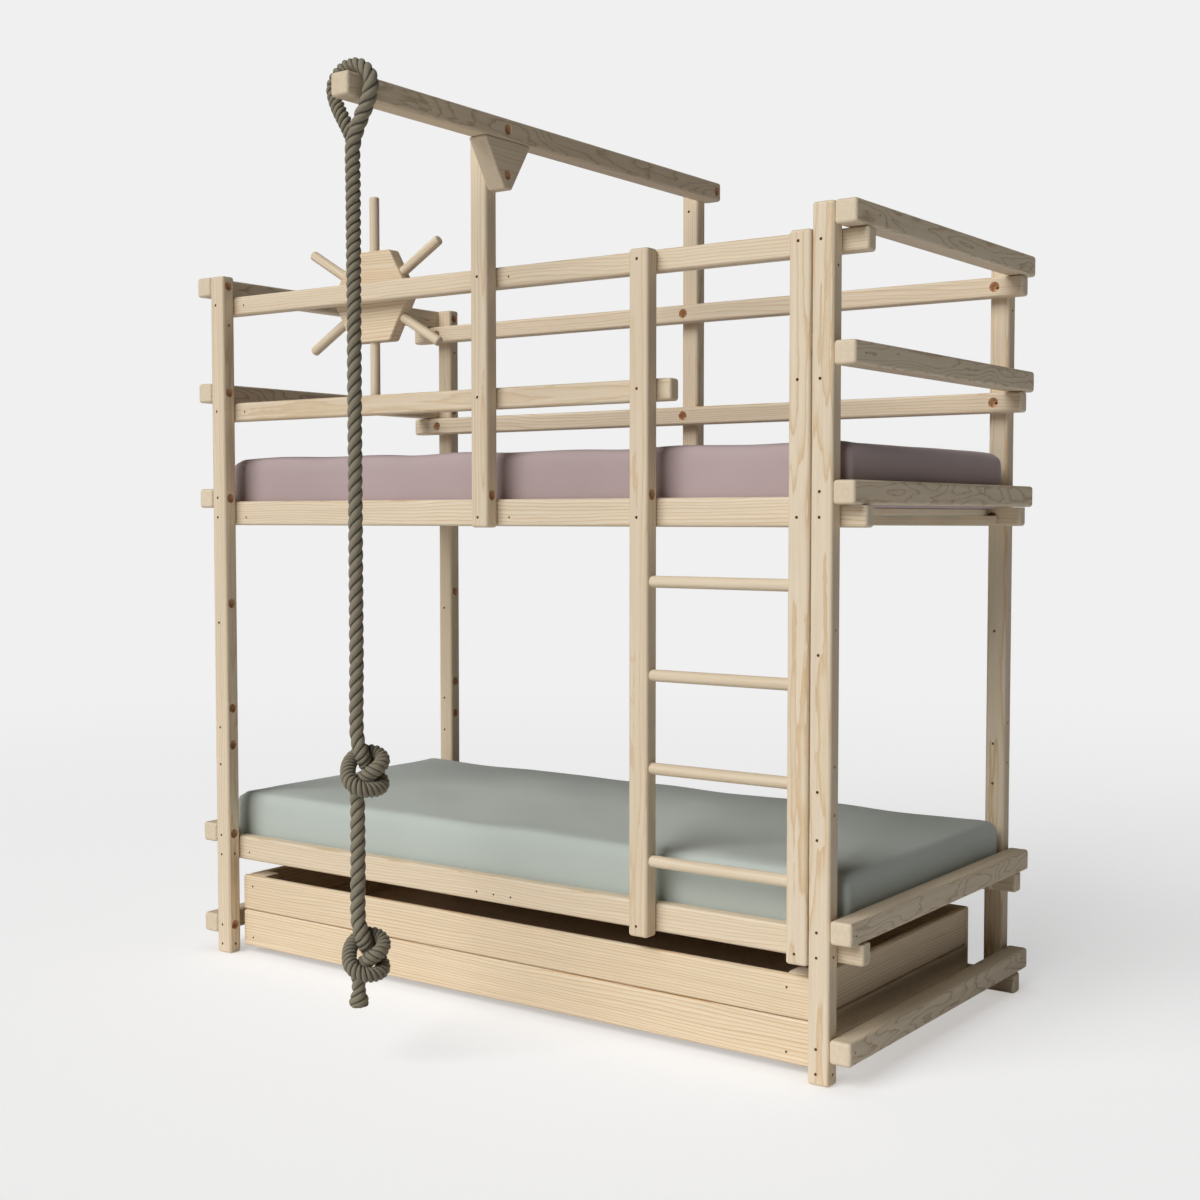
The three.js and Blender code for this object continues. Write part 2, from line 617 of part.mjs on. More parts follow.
function hubOutline() {
  const points = [];
  const inner = hubCorner - HUB_CORNER_ROUND / Math.cos(Math.PI / SPOKE_COUNT);
  for (let i = 0; i < SPOKE_COUNT; i += 1) {
    const angle = (2 * Math.PI * i) / SPOKE_COUNT;
    for (const turn of [-1, 0, 1]) {
      const around = angle + (turn * Math.PI) / SPOKE_COUNT;
      points.push(new THREE.Vector2(
        inner * Math.cos(angle) + HUB_CORNER_ROUND * Math.cos(around),
        inner * Math.sin(angle) + HUB_CORNER_ROUND * Math.sin(around),
      ));
    }
  }
  return new THREE.Shape(points);
}

// The outline's X runs along +Z and its Y along +X, so a quarter turn puts the flats on top
const hubBody = extrude(hubOutline(), HUB_THICK, HUB_EDGE_ROUND, ROUND_STEPS);
hubBody.rotateZ(Math.PI / 2);
turnTo(hubBody, 'y').translate(WHEEL_X, HUB_FRONT, WHEEL_Z);
const hubTools = [
  roundBar('y', [WHEEL_X, HUB_FRONT - OVERCUT, WHEEL_Z], HUB_THICK + 2 * OVERCUT,
    AXLE_RADIUS + AXLE_FIT, AXLE_SIDES),
];
const SPOKE_FOOT = HUB_APOTHEM - SPOKE_TENON;
const spokeRing = Array.from({ length: SPOKE_SIDES }, (_, i) => {
  const angle = (2 * Math.PI * i) / SPOKE_SIDES;
  return new THREE.Vector2(SPOKE_RADIUS * Math.cos(angle), SPOKE_RADIUS * Math.sin(angle));
});
for (let i = 0; i < SPOKE_COUNT; i += 1) {
  const hole = roundBar('z', [0, 0, SPOKE_FOOT], SPOKE_TENON + OVERCUT, SPOKE_RADIUS + SPOKE_FIT,
    SPOKE_SIDES);
  const length = SPOKE_TIP - SPOKE_FOOT - SPOKE_FIT;
  const spoke = extrude(new THREE.Shape(spokeRing), length, SPOKE_END_ROUND, ROUND_STEPS);
  spoke.translate(0, 0, SPOKE_FOOT + SPOKE_FIT);
  for (const body of [hole, spoke]) {
    body.rotateY((2 * Math.PI * i) / SPOKE_COUNT).translate(WHEEL_X, SPOKE_LINE, WHEEL_Z);
  }
  hubTools.push(hole);
  addNode(`wheel_spoke_${i + 1}`, spoke, PINE);
}
addNode('wheel_hub', cutFrom(hubBody, hubTools), PINE);

const HEAD_Y = HUB_FRONT + HUB_THICK + JOINT_GAP;
const AXLE_START = BED_INNER_Y - AXLE_GRIP;
const axle = joinAll([
  roundBar('y', [WHEEL_X, AXLE_START, WHEEL_Z], HEAD_Y - AXLE_START + OVERCUT, AXLE_RADIUS,
    AXLE_SIDES),
  roundBar('y', [WHEEL_X, BED_INNER_Y + JOINT_GAP, WHEEL_Z], COLLAR_THICK, COLLAR_RADIUS,
    AXLE_SIDES),
  roundBar('y', [WHEEL_X, HEAD_Y, WHEEL_Z], AXLE_HEAD_THICK, AXLE_HEAD_RADIUS, AXLE_SIDES),
]);
addNode('wheel_axle_bolt', axle, STEEL);
cutLater('front_guard_rail_top', roundBar('y', [WHEEL_X, BED_INNER_Y + OVERCUT, WHEEL_Z],
  -(AXLE_GRIP + JOINT_GAP + OVERCUT), AXLE_RADIUS + JOINT_GAP, AXLE_SIDES));

// Climbing rope: an eye over the beam, then the hanging part with two overhand knots
const ROPE_X = BEAM_X + BEAM_SIZE / 2;
const ROPE_Y = ROPE_FROM_BEAM_END - BEAM_OVERHANG;
const beamCorner = (BEAM_SIZE / 2 - CORNER_ROUND) * Math.SQRT2 + CORNER_ROUND;
// The eye bears on the upper corners of the beam with a flat side of its section
const eyeRadius = beamCorner + EYE_PLAY + ROPE_RADIUS * Math.cos(Math.PI / ROPE_SIDES);
const EYE_FOOT_Z = BEAM_MIDDLE_Z - EYE_FOOT_BELOW_BEAM;

function ropeSection() {
  const outline = [];
  for (let i = 0; i < ROPE_SIDES; i += 1) {
    const angle = (2 * Math.PI * i) / ROPE_SIDES;
    outline.push(new THREE.Vector2(ROPE_RADIUS * Math.cos(angle), ROPE_RADIUS * Math.sin(angle)));
  }
  return new THREE.Shape(outline);
}

// A smooth route whose steps are shared evenly among its points, so knots get the most
class RopeRoute extends THREE.CatmullRomCurve3 {
  getPointAt(u, target) {
    return this.getPoint(u, target);
  }

  getTangentAt(u, target) {
    return this.getTangent(u, target);
  }
}

function ropeTube(points) {
  const extrudePath = new RopeRoute(points, false, 'centripetal');
  const steps = STEPS_PER_SPAN * (points.length - 1);
  return new THREE.ExtrudeGeometry(ropeSection(), { steps, extrudePath });
}

// One side of the eye: up from its foot, out beside the beam and over to the top
function eyeSide(sign) {
  const route = [];
  for (const [out, up] of EYE_LEG) {
    route.push(new THREE.Vector3(ROPE_X + sign * out, ROPE_Y, EYE_FOOT_Z + up));
  }
  for (const degrees of EYE_ANGLES) {
    const angle = THREE.MathUtils.degToRad(degrees);
    route.push(new THREE.Vector3(
      ROPE_X + sign * eyeRadius * Math.cos(angle),
      ROPE_Y,
      BEAM_MIDDLE_Z + eyeRadius * Math.sin(angle),
    ));
  }
  return ropeTube(route);
}

// The hanging part, from inside the eye's foot through both knots to the free end
function hangingRoute() {
  const route = [];
  const addStraight = (from, to) => {
    const spans = Math.ceil((from - to) / ROPE_SPAN);
    for (let i = 0; i < spans; i += 1) {
      route.push(new THREE.Vector3(ROPE_X, ROPE_Y, from + ((to - from) * i) / spans));
    }
  };
  let z = EYE_FOOT_Z + ROPE_RADIUS / 2;
  for (const middle of KNOT_HEIGHTS) {
    addStraight(z, middle + KNOT_ROUTE[0][1]);
    for (const [across, up, forward] of KNOT_ROUTE) {
      route.push(new THREE.Vector3(
        ROPE_X + across * Math.cos(KNOT_TURN) + forward * Math.sin(KNOT_TURN),
        ROPE_Y + across * Math.sin(KNOT_TURN) - forward * Math.cos(KNOT_TURN),
        middle + up,
      ));
    }
    z = middle + KNOT_ROUTE[KNOT_ROUTE.length - 1][1];
    route.push(new THREE.Vector3(ROPE_X, ROPE_Y, z - ROPE_RADIUS));
    z -= 2 * ROPE_RADIUS;
  }
  route.push(new THREE.Vector3(ROPE_X, ROPE_Y, ROPE_END_Z));
  return route;
}

// Least gap between two stretches of the rope that aren't next to each other
function leastRopeGap(route) {
  const curve = new THREE.CatmullRomCurve3(route, false, 'centripetal');
  const points = curve.getSpacedPoints(GAP_SAMPLES);
  const step = curve.getLength() / GAP_SAMPLES;
  const apart = Math.ceil((GAP_SKIP * ROPE_RADIUS) / step);
  let least = Infinity;
  for (let i = 0; i < points.length; i += 1) {
    for (let k = i + apart; k < points.length; k += 1) {
      least = Math.min(least, points[i].distanceTo(points[k]));
    }
  }
  return least - 2 * ROPE_RADIUS;
}

const ropeRoute = hangingRoute();
console.log(`least gap of the rope to itself in its knots: ${leastRopeGap(ropeRoute).toFixed(2)} mm`);
addNode('climbing_rope', joinAll([eyeSide(-1), eyeSide(1), ropeTube(ropeRoute)]), HEMP);

// Bed box: boards, two corner blocks, floor panel and wheels on stub axles
const BOX_X0 = POST_ACROSS + BOX_SIDE_GAP;
const BOX_X1 = BED_LENGTH - POST_ACROSS - BOX_SIDE_GAP;
const BOX_Y0 = FRONT_RAIL_Y;
const BOX_Y1 = REAR_RAIL_Y - BOX_REAR_GAP;
const BOX_DEPTH = BOX_Y1 - BOX_Y0;
const BOX_UPPER_Z = BOX_FLOOR_CLEARANCE + BOX_LOWER_TALL + BOX_BOARD_SLOT;
const BOX_TOP_Z = BOX_UPPER_Z + BOX_UPPER_TALL;
const BOX_PANEL_Z = 2 * BOX_WHEEL_RADIUS + BOX_PANEL_ABOVE_WHEEL;
const boxInset = BOX_BOARD_THICK + JOINT_GAP;
const boxSides = [['left', BOX_X0, 1], ['right', BOX_X1, -1]];
const boxLevels = [
  ['upper', BOX_UPPER_Z, BOX_UPPER_TALL],
  ['lower', BOX_FLOOR_CLEARANCE, BOX_LOWER_TALL],
];

function boxBoard(name, axis, low, size) {
  piece(name, timber(axis, low, size, BOX_BOARD_ROUND + GLUE_DEPTH, BOX_BOARD_ROUND, 1));
}

for (const [level, z, tall] of boxLevels) {
  boxBoard(`box_front_${level}_board`, 'x', [BOX_X0, BOX_Y0, z],
    [BOX_X1 - BOX_X0, BOX_BOARD_THICK, tall]);
  for (const [side, face, inward] of boxSides) {
    const low = inward > 0 ? face : face - BOX_BOARD_THICK;
    boxBoard(`box_${side}_${level}_board`, 'y', [low, BOX_Y0 + boxInset, z],
      [BOX_BOARD_THICK, BOX_DEPTH - 2 * boxInset, tall]);
  }
}
boxBoard('box_back_board', 'x', [BOX_X0, BOX_Y1 - BOX_BOARD_THICK, BOX_FLOOR_CLEARANCE],
  [BOX_X1 - BOX_X0, BOX_BOARD_THICK, BOX_TOP_Z - BOX_FLOOR_CLEARANCE]);
addNode('box_floor', block(
  [BOX_X0 + boxInset, BOX_Y0 + boxInset, BOX_PANEL_Z],
  [BOX_X1 - BOX_X0 - 2 * boxInset, BOX_DEPTH - 2 * boxInset, BOX_PANEL_THICK],
), PINE_INSIDE);

const BLOCK_Z = BOX_PANEL_Z + BOX_PANEL_THICK + JOINT_GAP;
for (const [side, face, inward] of boxSides) {
  const x = face + inward * boxInset - (inward < 0 ? BOX_BLOCK_SIZE : 0);
  addNode(`box_corner_block_${side}`, timber('z', [x, BOX_Y0 + boxInset, BLOCK_Z],
    [BOX_BLOCK_SIZE, BOX_BLOCK_SIZE, BOX_TOP_Z - BLOCK_Z], CORNER_ROUND, 0, ROUND_STEPS), PINE);
}

let wheelNumber = 0;
for (const y of [BOX_Y0 + BOX_WHEEL_INSET, BOX_Y1 - BOX_WHEEL_INSET]) {
  for (const [side, face, inward] of boxSides) {
    const boardFace = face + inward * BOX_BOARD_THICK;
    const wheelFace = boardFace + inward * BOX_WHEEL_SIDE_FIT;
    const tyre = roundBar('x', [wheelFace, y, BOX_WHEEL_RADIUS], inward * BOX_WHEEL_WIDE,
      BOX_WHEEL_RADIUS, BOX_WHEEL_SIDES);
    const stub = roundBar('x', [wheelFace + inward * OVERCUT, y, BOX_WHEEL_RADIUS],
      -inward * (STUB_LENGTH + OVERCUT), STUB_RADIUS, STUB_SIDES);
    wheelNumber += 1;
    addNode(`box_wheel_${wheelNumber}`, joinAll([tyre, stub]), TYRE);
    cutLater(`box_${side}_lower_board`, roundBar('x',
      [boardFace + inward * OVERCUT, y, BOX_WHEEL_RADIUS],
      -inward * (STUB_LENGTH + OVERCUT), STUB_RADIUS + STUB_FIT, STUB_SIDES));
  }
}

// The timbers, cut
for (const [name, { geometry, tools }] of pieces) {
  addNode(name, cutFrom(geometry, tools), PINE);
}

// Origin at the middle of the base of everything but the rope
const moveX = -(rearStart + frontEnd) / 2;
const moveY = -(BED_DEPTH - BEAM_OVERHANG) / 2;
for (const mesh of group.children) {
  mesh.geometry.translate(moveX, moveY, 0);
}

export default group;
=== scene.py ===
"""Looks of a pine bunk bed with ladder, swing beam, climbing rope, play wheel and bed box.

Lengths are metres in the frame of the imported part: X along the bed towards the ladder, Y towards
the wall, Z up from the floor. Each sub-assembly is a class that builds its own meshes and dresses
them, and main() builds them in order.
"""

import logging
import math
from collections.abc import Iterable
from dataclasses import dataclass, field
from enum import Enum

import bpy
import numpy as np
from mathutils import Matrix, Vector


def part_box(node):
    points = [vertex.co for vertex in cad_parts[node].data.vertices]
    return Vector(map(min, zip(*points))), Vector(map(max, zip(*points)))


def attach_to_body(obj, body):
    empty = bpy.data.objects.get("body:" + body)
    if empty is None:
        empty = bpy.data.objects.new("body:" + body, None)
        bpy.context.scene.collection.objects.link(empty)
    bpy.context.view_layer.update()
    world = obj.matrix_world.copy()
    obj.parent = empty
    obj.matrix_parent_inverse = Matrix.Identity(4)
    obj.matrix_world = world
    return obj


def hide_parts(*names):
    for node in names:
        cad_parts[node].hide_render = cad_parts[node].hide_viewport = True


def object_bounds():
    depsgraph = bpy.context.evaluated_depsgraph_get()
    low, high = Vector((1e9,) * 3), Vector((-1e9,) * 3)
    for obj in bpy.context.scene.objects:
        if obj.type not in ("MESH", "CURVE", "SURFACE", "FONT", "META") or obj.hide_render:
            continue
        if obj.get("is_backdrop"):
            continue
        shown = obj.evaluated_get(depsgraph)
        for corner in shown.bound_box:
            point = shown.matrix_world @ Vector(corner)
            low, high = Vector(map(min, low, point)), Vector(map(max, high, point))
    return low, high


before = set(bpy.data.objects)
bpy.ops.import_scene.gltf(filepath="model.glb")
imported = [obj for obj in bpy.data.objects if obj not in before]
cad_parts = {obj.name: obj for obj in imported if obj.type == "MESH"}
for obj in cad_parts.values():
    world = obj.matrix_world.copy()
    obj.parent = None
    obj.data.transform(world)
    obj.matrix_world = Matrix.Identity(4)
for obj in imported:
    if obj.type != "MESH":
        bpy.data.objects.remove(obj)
log = logging.getLogger("bunk_bed")

Array = np.ndarray
Object = bpy.types.Object
Socket = bpy.types.NodeSocket
MM = 0.001
END_FADE = 6 * MM


class Axis(Enum):
    """The axis that a timber's length and grain follow."""

    X = 0
    Y = 1
    Z = 2

    def turn(self, local: Array) -> Array:
        """Turns points whose third column runs along the timber into the part's frame."""
        return np.roll(local, self.value + 1, axis=1)

    def laid(self, bar: "Surface", start: Array) -> "Surface":
        """A surface made along its third axis, turned to run along this axis from a start."""
        return Surface(self.turn(bar.points) + start, bar.faces)

    def unit(self) -> Array:
        """The axis as a unit vector."""
        return np.eye(3)[self.value]


# Meshes


@dataclass
class Surface:
    """Points and faces of a closed or open surface, before it becomes a mesh."""

    points: Array
    faces: list = field(default_factory=list)


def grid_faces(rows: int, columns: int, closed: bool) -> Array:
    """Quads of a grid of points, row by row, where each row may be a closed ring."""
    last = columns if closed else columns - 1
    i, j = np.meshgrid(np.arange(rows - 1), np.arange(last), indexing="ij")
    here = i * columns + j
    beside = i * columns + (j + 1) % columns
    return np.stack([here, beside, beside + columns, here + columns], axis=-1).reshape(-1, 4)


def ring_surface(rings: Array) -> Surface:
    """Closed surface through a stack of closed rings, with a flat face at both ends.

    Args:
        rings: Points of shape (rings, points, 3); each ring turns anticlockwise about the way
            that the rings go.

    Returns:
        The closed surface.
    """
    count, columns, _ = rings.shape
    faces = grid_faces(count, columns, True).tolist()
    faces.append(list(range(columns))[::-1])
    faces.append(list(range((count - 1) * columns, count * columns)))
    return Surface(rings.reshape(-1, 3), faces)


def joined(surfaces: list) -> Surface:
    """Several surfaces as one, side by side."""
    points, faces, start = [], [], 0
    for surface in surfaces:
        points.append(surface.points)
        faces.extend([[start + k for k in face] for face in surface.faces])
        start += len(surface.points)
    return Surface(np.vstack(points), faces)


def new_object(
    name: str, surface: Surface, material: bpy.types.Material | None = None, smooth: float = 40.0,
) -> Object:
    """Makes a mesh object from a surface.

    Args:
        name: Name of the object and of its mesh.
        surface: Points and faces.
        material: Its material, if it has one.
        smooth: Edges flatter than this many degrees are shaded smooth.

    Returns:
        The new object, linked to the scene.
    """
    mesh = bpy.data.meshes.new(name)
    mesh.from_pydata(surface.points.tolist(), [], surface.faces)
    mesh.update()
    obj = bpy.data.objects.new(name, mesh)
    bpy.context.scene.collection.objects.link(obj)
    shade(obj, smooth)
    if material:
        mesh.materials.append(material)
    return obj


def shade(obj: Object, smooth_below: float) -> None:
    """Shades an object smooth, with sharp edges where two faces meet at a larger angle."""
    obj.data.polygons.foreach_set("use_smooth", np.ones(len(obj.data.polygons), bool))
    obj.data.set_sharp_from_angle(angle=math.radians(smooth_below))


def freeze(obj: Object) -> None:
    """Replaces an object's mesh by what its modifiers make of it, and removes them."""
    bpy.context.view_layer.update()
    graph = bpy.context.evaluated_depsgraph_get()
    made = bpy.data.meshes.new_from_object(obj.evaluated_get(graph), depsgraph=graph)
    old = obj.data
    obj.modifiers.clear()
    obj.data = made
    bpy.data.meshes.remove(old)


def cut(obj: Object, cutter: Surface, inside: bpy.types.Material) -> None:
    """Cuts a closed surface out of an object.

    Args:
        obj: The object, with its material.
        cutter: The surface to cut out.
        inside: Material of the faces that the cut lays bare.
    """
    tool = new_object(obj.name + "_cutter", cutter, inside)
    modifier = obj.modifiers.new("cut", "BOOLEAN")
    modifier.operation = "DIFFERENCE"
    modifier.solver = "EXACT"
    modifier.material_mode = "TRANSFER"
    modifier.object = tool
    freeze(obj)
    mesh = tool.data
    bpy.data.objects.remove(tool)
    bpy.data.meshes.remove(mesh)


def weigh_normals(obj: Object) -> None:
    """Lets the large flat faces set the shading where they meet a rounded edge."""
    modifier = obj.modifiers.new("weigh", "WEIGHTED_NORMAL")
    modifier.weight = 90
    modifier.keep_sharp = True
    freeze(obj)


def mesh_points(obj: Object) -> Array:
    """Points of an object's mesh as an array of shape (n, 3)."""
    points = np.empty(len(obj.data.vertices) * 3)
    obj.data.vertices.foreach_get("co", points)
    return points.reshape(-1, 3)


def box_of(node: str) -> tuple[Array, Array]:
    """Lowest and highest corner of a CAD node."""
    low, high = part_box(node)
    return np.array(low), np.array(high)


def attach(obj: Object, body: str, slot: str, *nodes: str) -> Object:
    """Lets a piece ride on a body and hides the CAD nodes that it stands for."""
    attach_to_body(obj, body)
    if nodes:
        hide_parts(*nodes)
    return obj


# Shapes


def rounded_outline(corners: Array, radii: Array, inset: float, steps: int) -> Array:
    """Outline of a convex polygon whose corners are arcs, drawn in by an inset.

    Each corner's arc has its centre a radius inside both of its edges, and its points lie at
    the radius less the inset from there, on the angles between the two edges' normals.

    Args:
        corners: Corners of the polygon, anticlockwise, of shape (n, 2).
        radii: Radius of each corner.
        inset: How far the outline is drawn in; less than every radius.
        steps: Arc steps at each corner.

    Returns:
        Points of the outline, anticlockwise.
    """
    edges = np.roll(corners, -1, axis=0) - corners
    edges /= np.linalg.norm(edges, axis=1)[:, None]
    after = np.stack([edges[:, 1], -edges[:, 0]], axis=1)
    before = np.roll(after, 1, axis=0)
    turn = 1 + (after * before).sum(1)
    centres = corners - (radii / turn)[:, None] * (after + before)
    start = np.arctan2(before[:, 1], before[:, 0])
    span = (np.arctan2(after[:, 1], after[:, 0]) - start) % (2 * math.pi)
    angles = start[:, None] + span[:, None] * np.linspace(0, 1, steps + 1)
    reach = (radii - inset)[:, None]
    arcs = np.stack([reach * np.cos(angles), reach * np.sin(angles)], axis=-1)
    return (centres[:, None] + arcs).reshape(-1, 2)


def prism(
    corners: Array, length: float, radii: float | Array, end_round: float, steps: int = 5,
) -> Surface:
    """Bar with a rounded polygon section along its third axis and quarter-round end edges.

    The section is drawn in by e(1 - sin t) at the height e(1 - cos t) from either end, with e
    the end rounding and t from 0 to 90 degrees.

    Args:
        corners: Section's corners, anticlockwise.
        length: Length of the bar.
        radii: Radius of the section's corners.
        end_round: Radius of the end edges.
        steps: Steps of each rounding.

    Returns:
        Closed surface from 0 to the length.
    """
    corners = np.asarray(corners, float)
    radii = np.broadcast_to(np.asarray(radii, float), len(corners))
    turn = np.linspace(0, math.pi / 2, steps + 1)
    inset = end_round * (1 - np.sin(turn))
    rise = end_round * (1 - np.cos(turn))
    insets = np.concatenate([inset, inset[::-1]])
    heights = np.concatenate([rise, length - rise[::-1]])
    rings = []
    for drawn, height in zip(insets, heights):
        outline = rounded_outline(corners, radii, drawn, steps)
        rings.append(np.column_stack([outline, np.full(len(outline), height)]))
    return ring_surface(np.array(rings))


def rectangle(width: float, height: float) -> Array:
    """Corners of a rectangle about the origin, anticlockwise."""
    return np.array([[1, 1], [-1, 1], [-1, -1], [1, -1]]) * [width / 2, height / 2]


def lathe(profile: list, sides: int) -> Surface:
    """Closed surface of revolution about its third axis.

    Args:
        profile: Radius and height of each ring from one end to the other.
        sides: Points round each ring.

    Returns:
        The surface; each point lies at (r cos a, r sin a, h).
    """
    radius, height = np.array(profile, float).T
    angle = np.linspace(0, 2 * math.pi, sides, endpoint=False)
    rings = np.stack([
        radius[:, None] * np.cos(angle),
        radius[:, None] * np.sin(angle),
        np.broadcast_to(height[:, None], (len(radius), sides)),
    ], axis=-1)
    return ring_surface(rings)


def sideways(along: Array) -> Array:
    """Two unit vectors square to a direction, and the direction's own, as three rows."""
    third = np.asarray(along, float) / np.linalg.norm(along)
    helper = np.array([0.0, 0.0, 1.0]) if abs(third[2]) < 0.9 else np.array([1.0, 0.0, 0.0])
    first = np.cross(helper, third)
    first /= np.linalg.norm(first)
    return np.array([first, np.cross(third, first), third])


def aimed(surface: Surface, start: Array, along: Array) -> Surface:
    """Puts a surface made along its third axis at a start point, along a direction."""
    return Surface(surface.points @ sideways(along) + start, surface.faces)


# Camera


@dataclass(frozen=True)
class Viewpoint:
    """Where the photograph was taken from, worked out from the bed's own timbers."""

    place: tuple = (2.8610, -3.6501, 1.3262)
    yaw: float = 35.91
    pitch: float = -2.84
    lens: float = 50.0
    sensor: float = 36.0

    def build(self) -> None:
        """Makes the camera and sets it as the scene's."""
        data = bpy.data.cameras.new("camera")
        data.lens = self.lens
        data.sensor_width = self.sensor
        camera = bpy.data.objects.new("camera", data)
        bpy.context.scene.collection.objects.link(camera)
        camera.location = self.place
        camera.rotation_euler = (math.radians(90 + self.pitch), 0, math.radians(self.yaw))
        bpy.context.scene.camera = camera


# Node helpers


class Shader:
    """A material's or a group's node tree, with short calls to add and link nodes."""

    def __init__(self, tree: bpy.types.NodeTree) -> None:
        """Keeps the tree."""
        self.tree = tree

    def add(self, kind: str, inputs: dict | None = None, **values: object) -> bpy.types.Node:
        """Adds a node.

        Args:
            kind: The node's type without the word that all shader nodes share.
            inputs: Value or socket of each input, by name or number.
            values: Value of each property.

        Returns:
            The node.
        """
        node = self.tree.nodes.new("ShaderNode" + kind)
        for name, value in values.items():
            setattr(node, name, value)
        self.fill(node, inputs or {})
        return node

    def fill(self, node: bpy.types.Node, inputs: dict) -> None:
        """Feeds some inputs of a node, each by name or number."""
        for name, value in inputs.items():
            self.feed(value, node.inputs[name])

    def feed(self, value: object, target: Socket) -> None:
        """Links a socket to an input, or sets the input to a number, a vector or a colour."""
        if isinstance(value, Socket):
            self.tree.links.new(value, target)
        else:
            target.default_value = (*value, 1) if target.type == "RGBA" else value

    def math(self, operation: str, first: object, second: object = 0.0) -> Socket:
        """The result of a math node of two inputs, each a socket or a number."""
        return self.add("Math", {0: first, 1: second}, operation=operation).outputs[0]

    def plus(self, first: object, second: object) -> Socket:
        """The sum of two inputs."""
        return self.math("ADD", first, second)

    def times(self, first: object, second: object) -> Socket:
        """The product of two inputs."""
        return self.math("MULTIPLY", first, second)

    def vector(self, operation: str, first: object, second: object) -> Socket:
        """The result of a vector math node of two inputs, each a socket or three numbers."""
        return self.add("VectorMath", {0: first, 1: second}, operation=operation).outputs[0]

    def length(self, place: object) -> Socket:
        """The length of a vector."""
        return self.add("VectorMath", {0: place}, operation="LENGTH").outputs["Value"]

    def noise(
        self, place: object, scale: float, detail: float = 2.0, stretch: tuple | None = None,
        output: str = "Fac",
    ) -> Socket:
        """A noise texture.

        Args:
            place: Where to read it.
            scale: Features per metre.
            detail: Number of finer layers.
            stretch: Factors of the place along its three axes, if any.
            output: Name of the output.

        Returns:
            The output's socket.
        """
        if stretch:
            place = self.vector("MULTIPLY", place, stretch)
        inputs = {"Vector": place, "Scale": scale, "Detail": detail}
        return self.add("TexNoise", inputs).outputs[output]

    def ramp(self, value: object, stops: list) -> Socket:
        """A colour ramp.

        Args:
            value: Where to read it.
            stops: Position and colour of each stop; a single number stands for a grey.

        Returns:
            The colour's socket.
        """
        node = self.add("ValToRGB", {0: value})
        elements = node.color_ramp.elements
        elements.remove(elements[-1])
        for number, (position, colour) in enumerate(stops):
            element = elements.new(position) if number else elements[0]
            element.position = position
            element.color = (*(colour if isinstance(colour, tuple) else (colour,) * 3), 1)
        return node.outputs[0]

    def mix(self, share: object, first: object, second: object, blend: str = "MIX") -> Socket:
        """A colour mix of two inputs, each a socket or a colour."""
        inputs = {0: share, 6: first, 7: second}
        return self.add("Mix", inputs, data_type="RGBA", blend_type=blend).outputs[2]

    def bump(self, height: object, strength: float, distance: float) -> Socket:
        """A bump node's normal from a height."""
        inputs = {"Height": height, "Strength": strength, "Distance": distance}
        return self.add("Bump", inputs).outputs[0]

    def blend(self, share: object, first: object, second: object) -> Socket:
        """A mix of two shaders."""
        return self.add("MixShader", {0: share, 1: first, 2: second}).outputs[0]

    def to_camera(self, seen: object, rest: object) -> Socket:
        """One shader for the camera's own rays and another for all the rest."""
        return self.blend(self.add("LightPath").outputs["Is Camera Ray"], rest, seen)

    def group(self, name: str, values: dict) -> bpy.types.NodeOutputs:
        """Places a node group, with a value or socket for each input, and gives its outputs."""
        return self.add("Group", values, node_tree=bpy.data.node_groups[name]).outputs


def new_group(name: str, numbers: tuple, outputs: tuple) -> tuple:
    """Makes a shader node group that is given a place and some numbers.

    Args:
        name: Name of the group.
        numbers: Names of the numbers.
        outputs: Names of the outputs, all plain numbers.

    Returns:
        The tree's helper, its inputs by name and its outputs by name.
    """
    tree = bpy.data.node_groups.new(name, "ShaderNodeTree")
    tree.interface.new_socket("Place", in_out="INPUT", socket_type="NodeSocketVector")
    for way, titles in (("INPUT", numbers), ("OUTPUT", outputs)):
        for title in titles:
            tree.interface.new_socket(title, in_out=way, socket_type="NodeSocketFloat")
    entry, leave = tree.nodes.new("NodeGroupInput"), tree.nodes.new("NodeGroupOutput")
    return Shader(tree), entry.outputs, leave.inputs


def build_ring_group() -> None:
    """Node group of a conifer's growth rings and fibres.

    Rings lie about the pith, where the second and third coordinate are 0. Three noises bend
    them: a slow one that tapers the stem, and two quicker ones that draw waves and jags on the
    flat-sawn faces.
    """
    shader, given, out = new_group(
        "growth_rings", ("Rings per Metre", "Slow Bend", "Quick Bend", "Fine Bend"),
        ("Ring", "Fibre", "Streak"),
    )
    place = bent = given["Place"]
    for title, scale, detail, stretch in (
        ("Slow Bend", 7.0, 1.0, (0.12, 1, 1)), ("Quick Bend", 9.0, 1.0, (0.4, 1.3, 1.3)),
        ("Fine Bend", 42.0, 2.0, (0.55, 1.5, 1.5)),
    ):
        noise = shader.noise(place, scale, detail, stretch, "Color")
        about_nil = shader.vector("SUBTRACT", noise, (0.5, 0.5, 0.5))
        scaled = shader.add(
            "VectorMath", {0: about_nil, "Scale": given[title]}, operation="SCALE",
        )
        bent = shader.vector("ADD", bent, scaled.outputs[0])
    flat = shader.vector("MULTIPLY", bent, (0.0, 1.0, 1.0))
    count = shader.times(shader.length(flat), given["Rings per Metre"])
    count = shader.plus(count, shader.times(shader.noise(flat, 60.0, 1.0), 1.1))
    shader.feed(shader.math("FRACT", count), out["Ring"])
    shader.feed(shader.noise(place, 1.0, 3.0, (14, 900, 900)), out["Fibre"])
    shader.feed(shader.noise(place, 1.0, 2.0, (1.6, 90, 90)), out["Streak"])


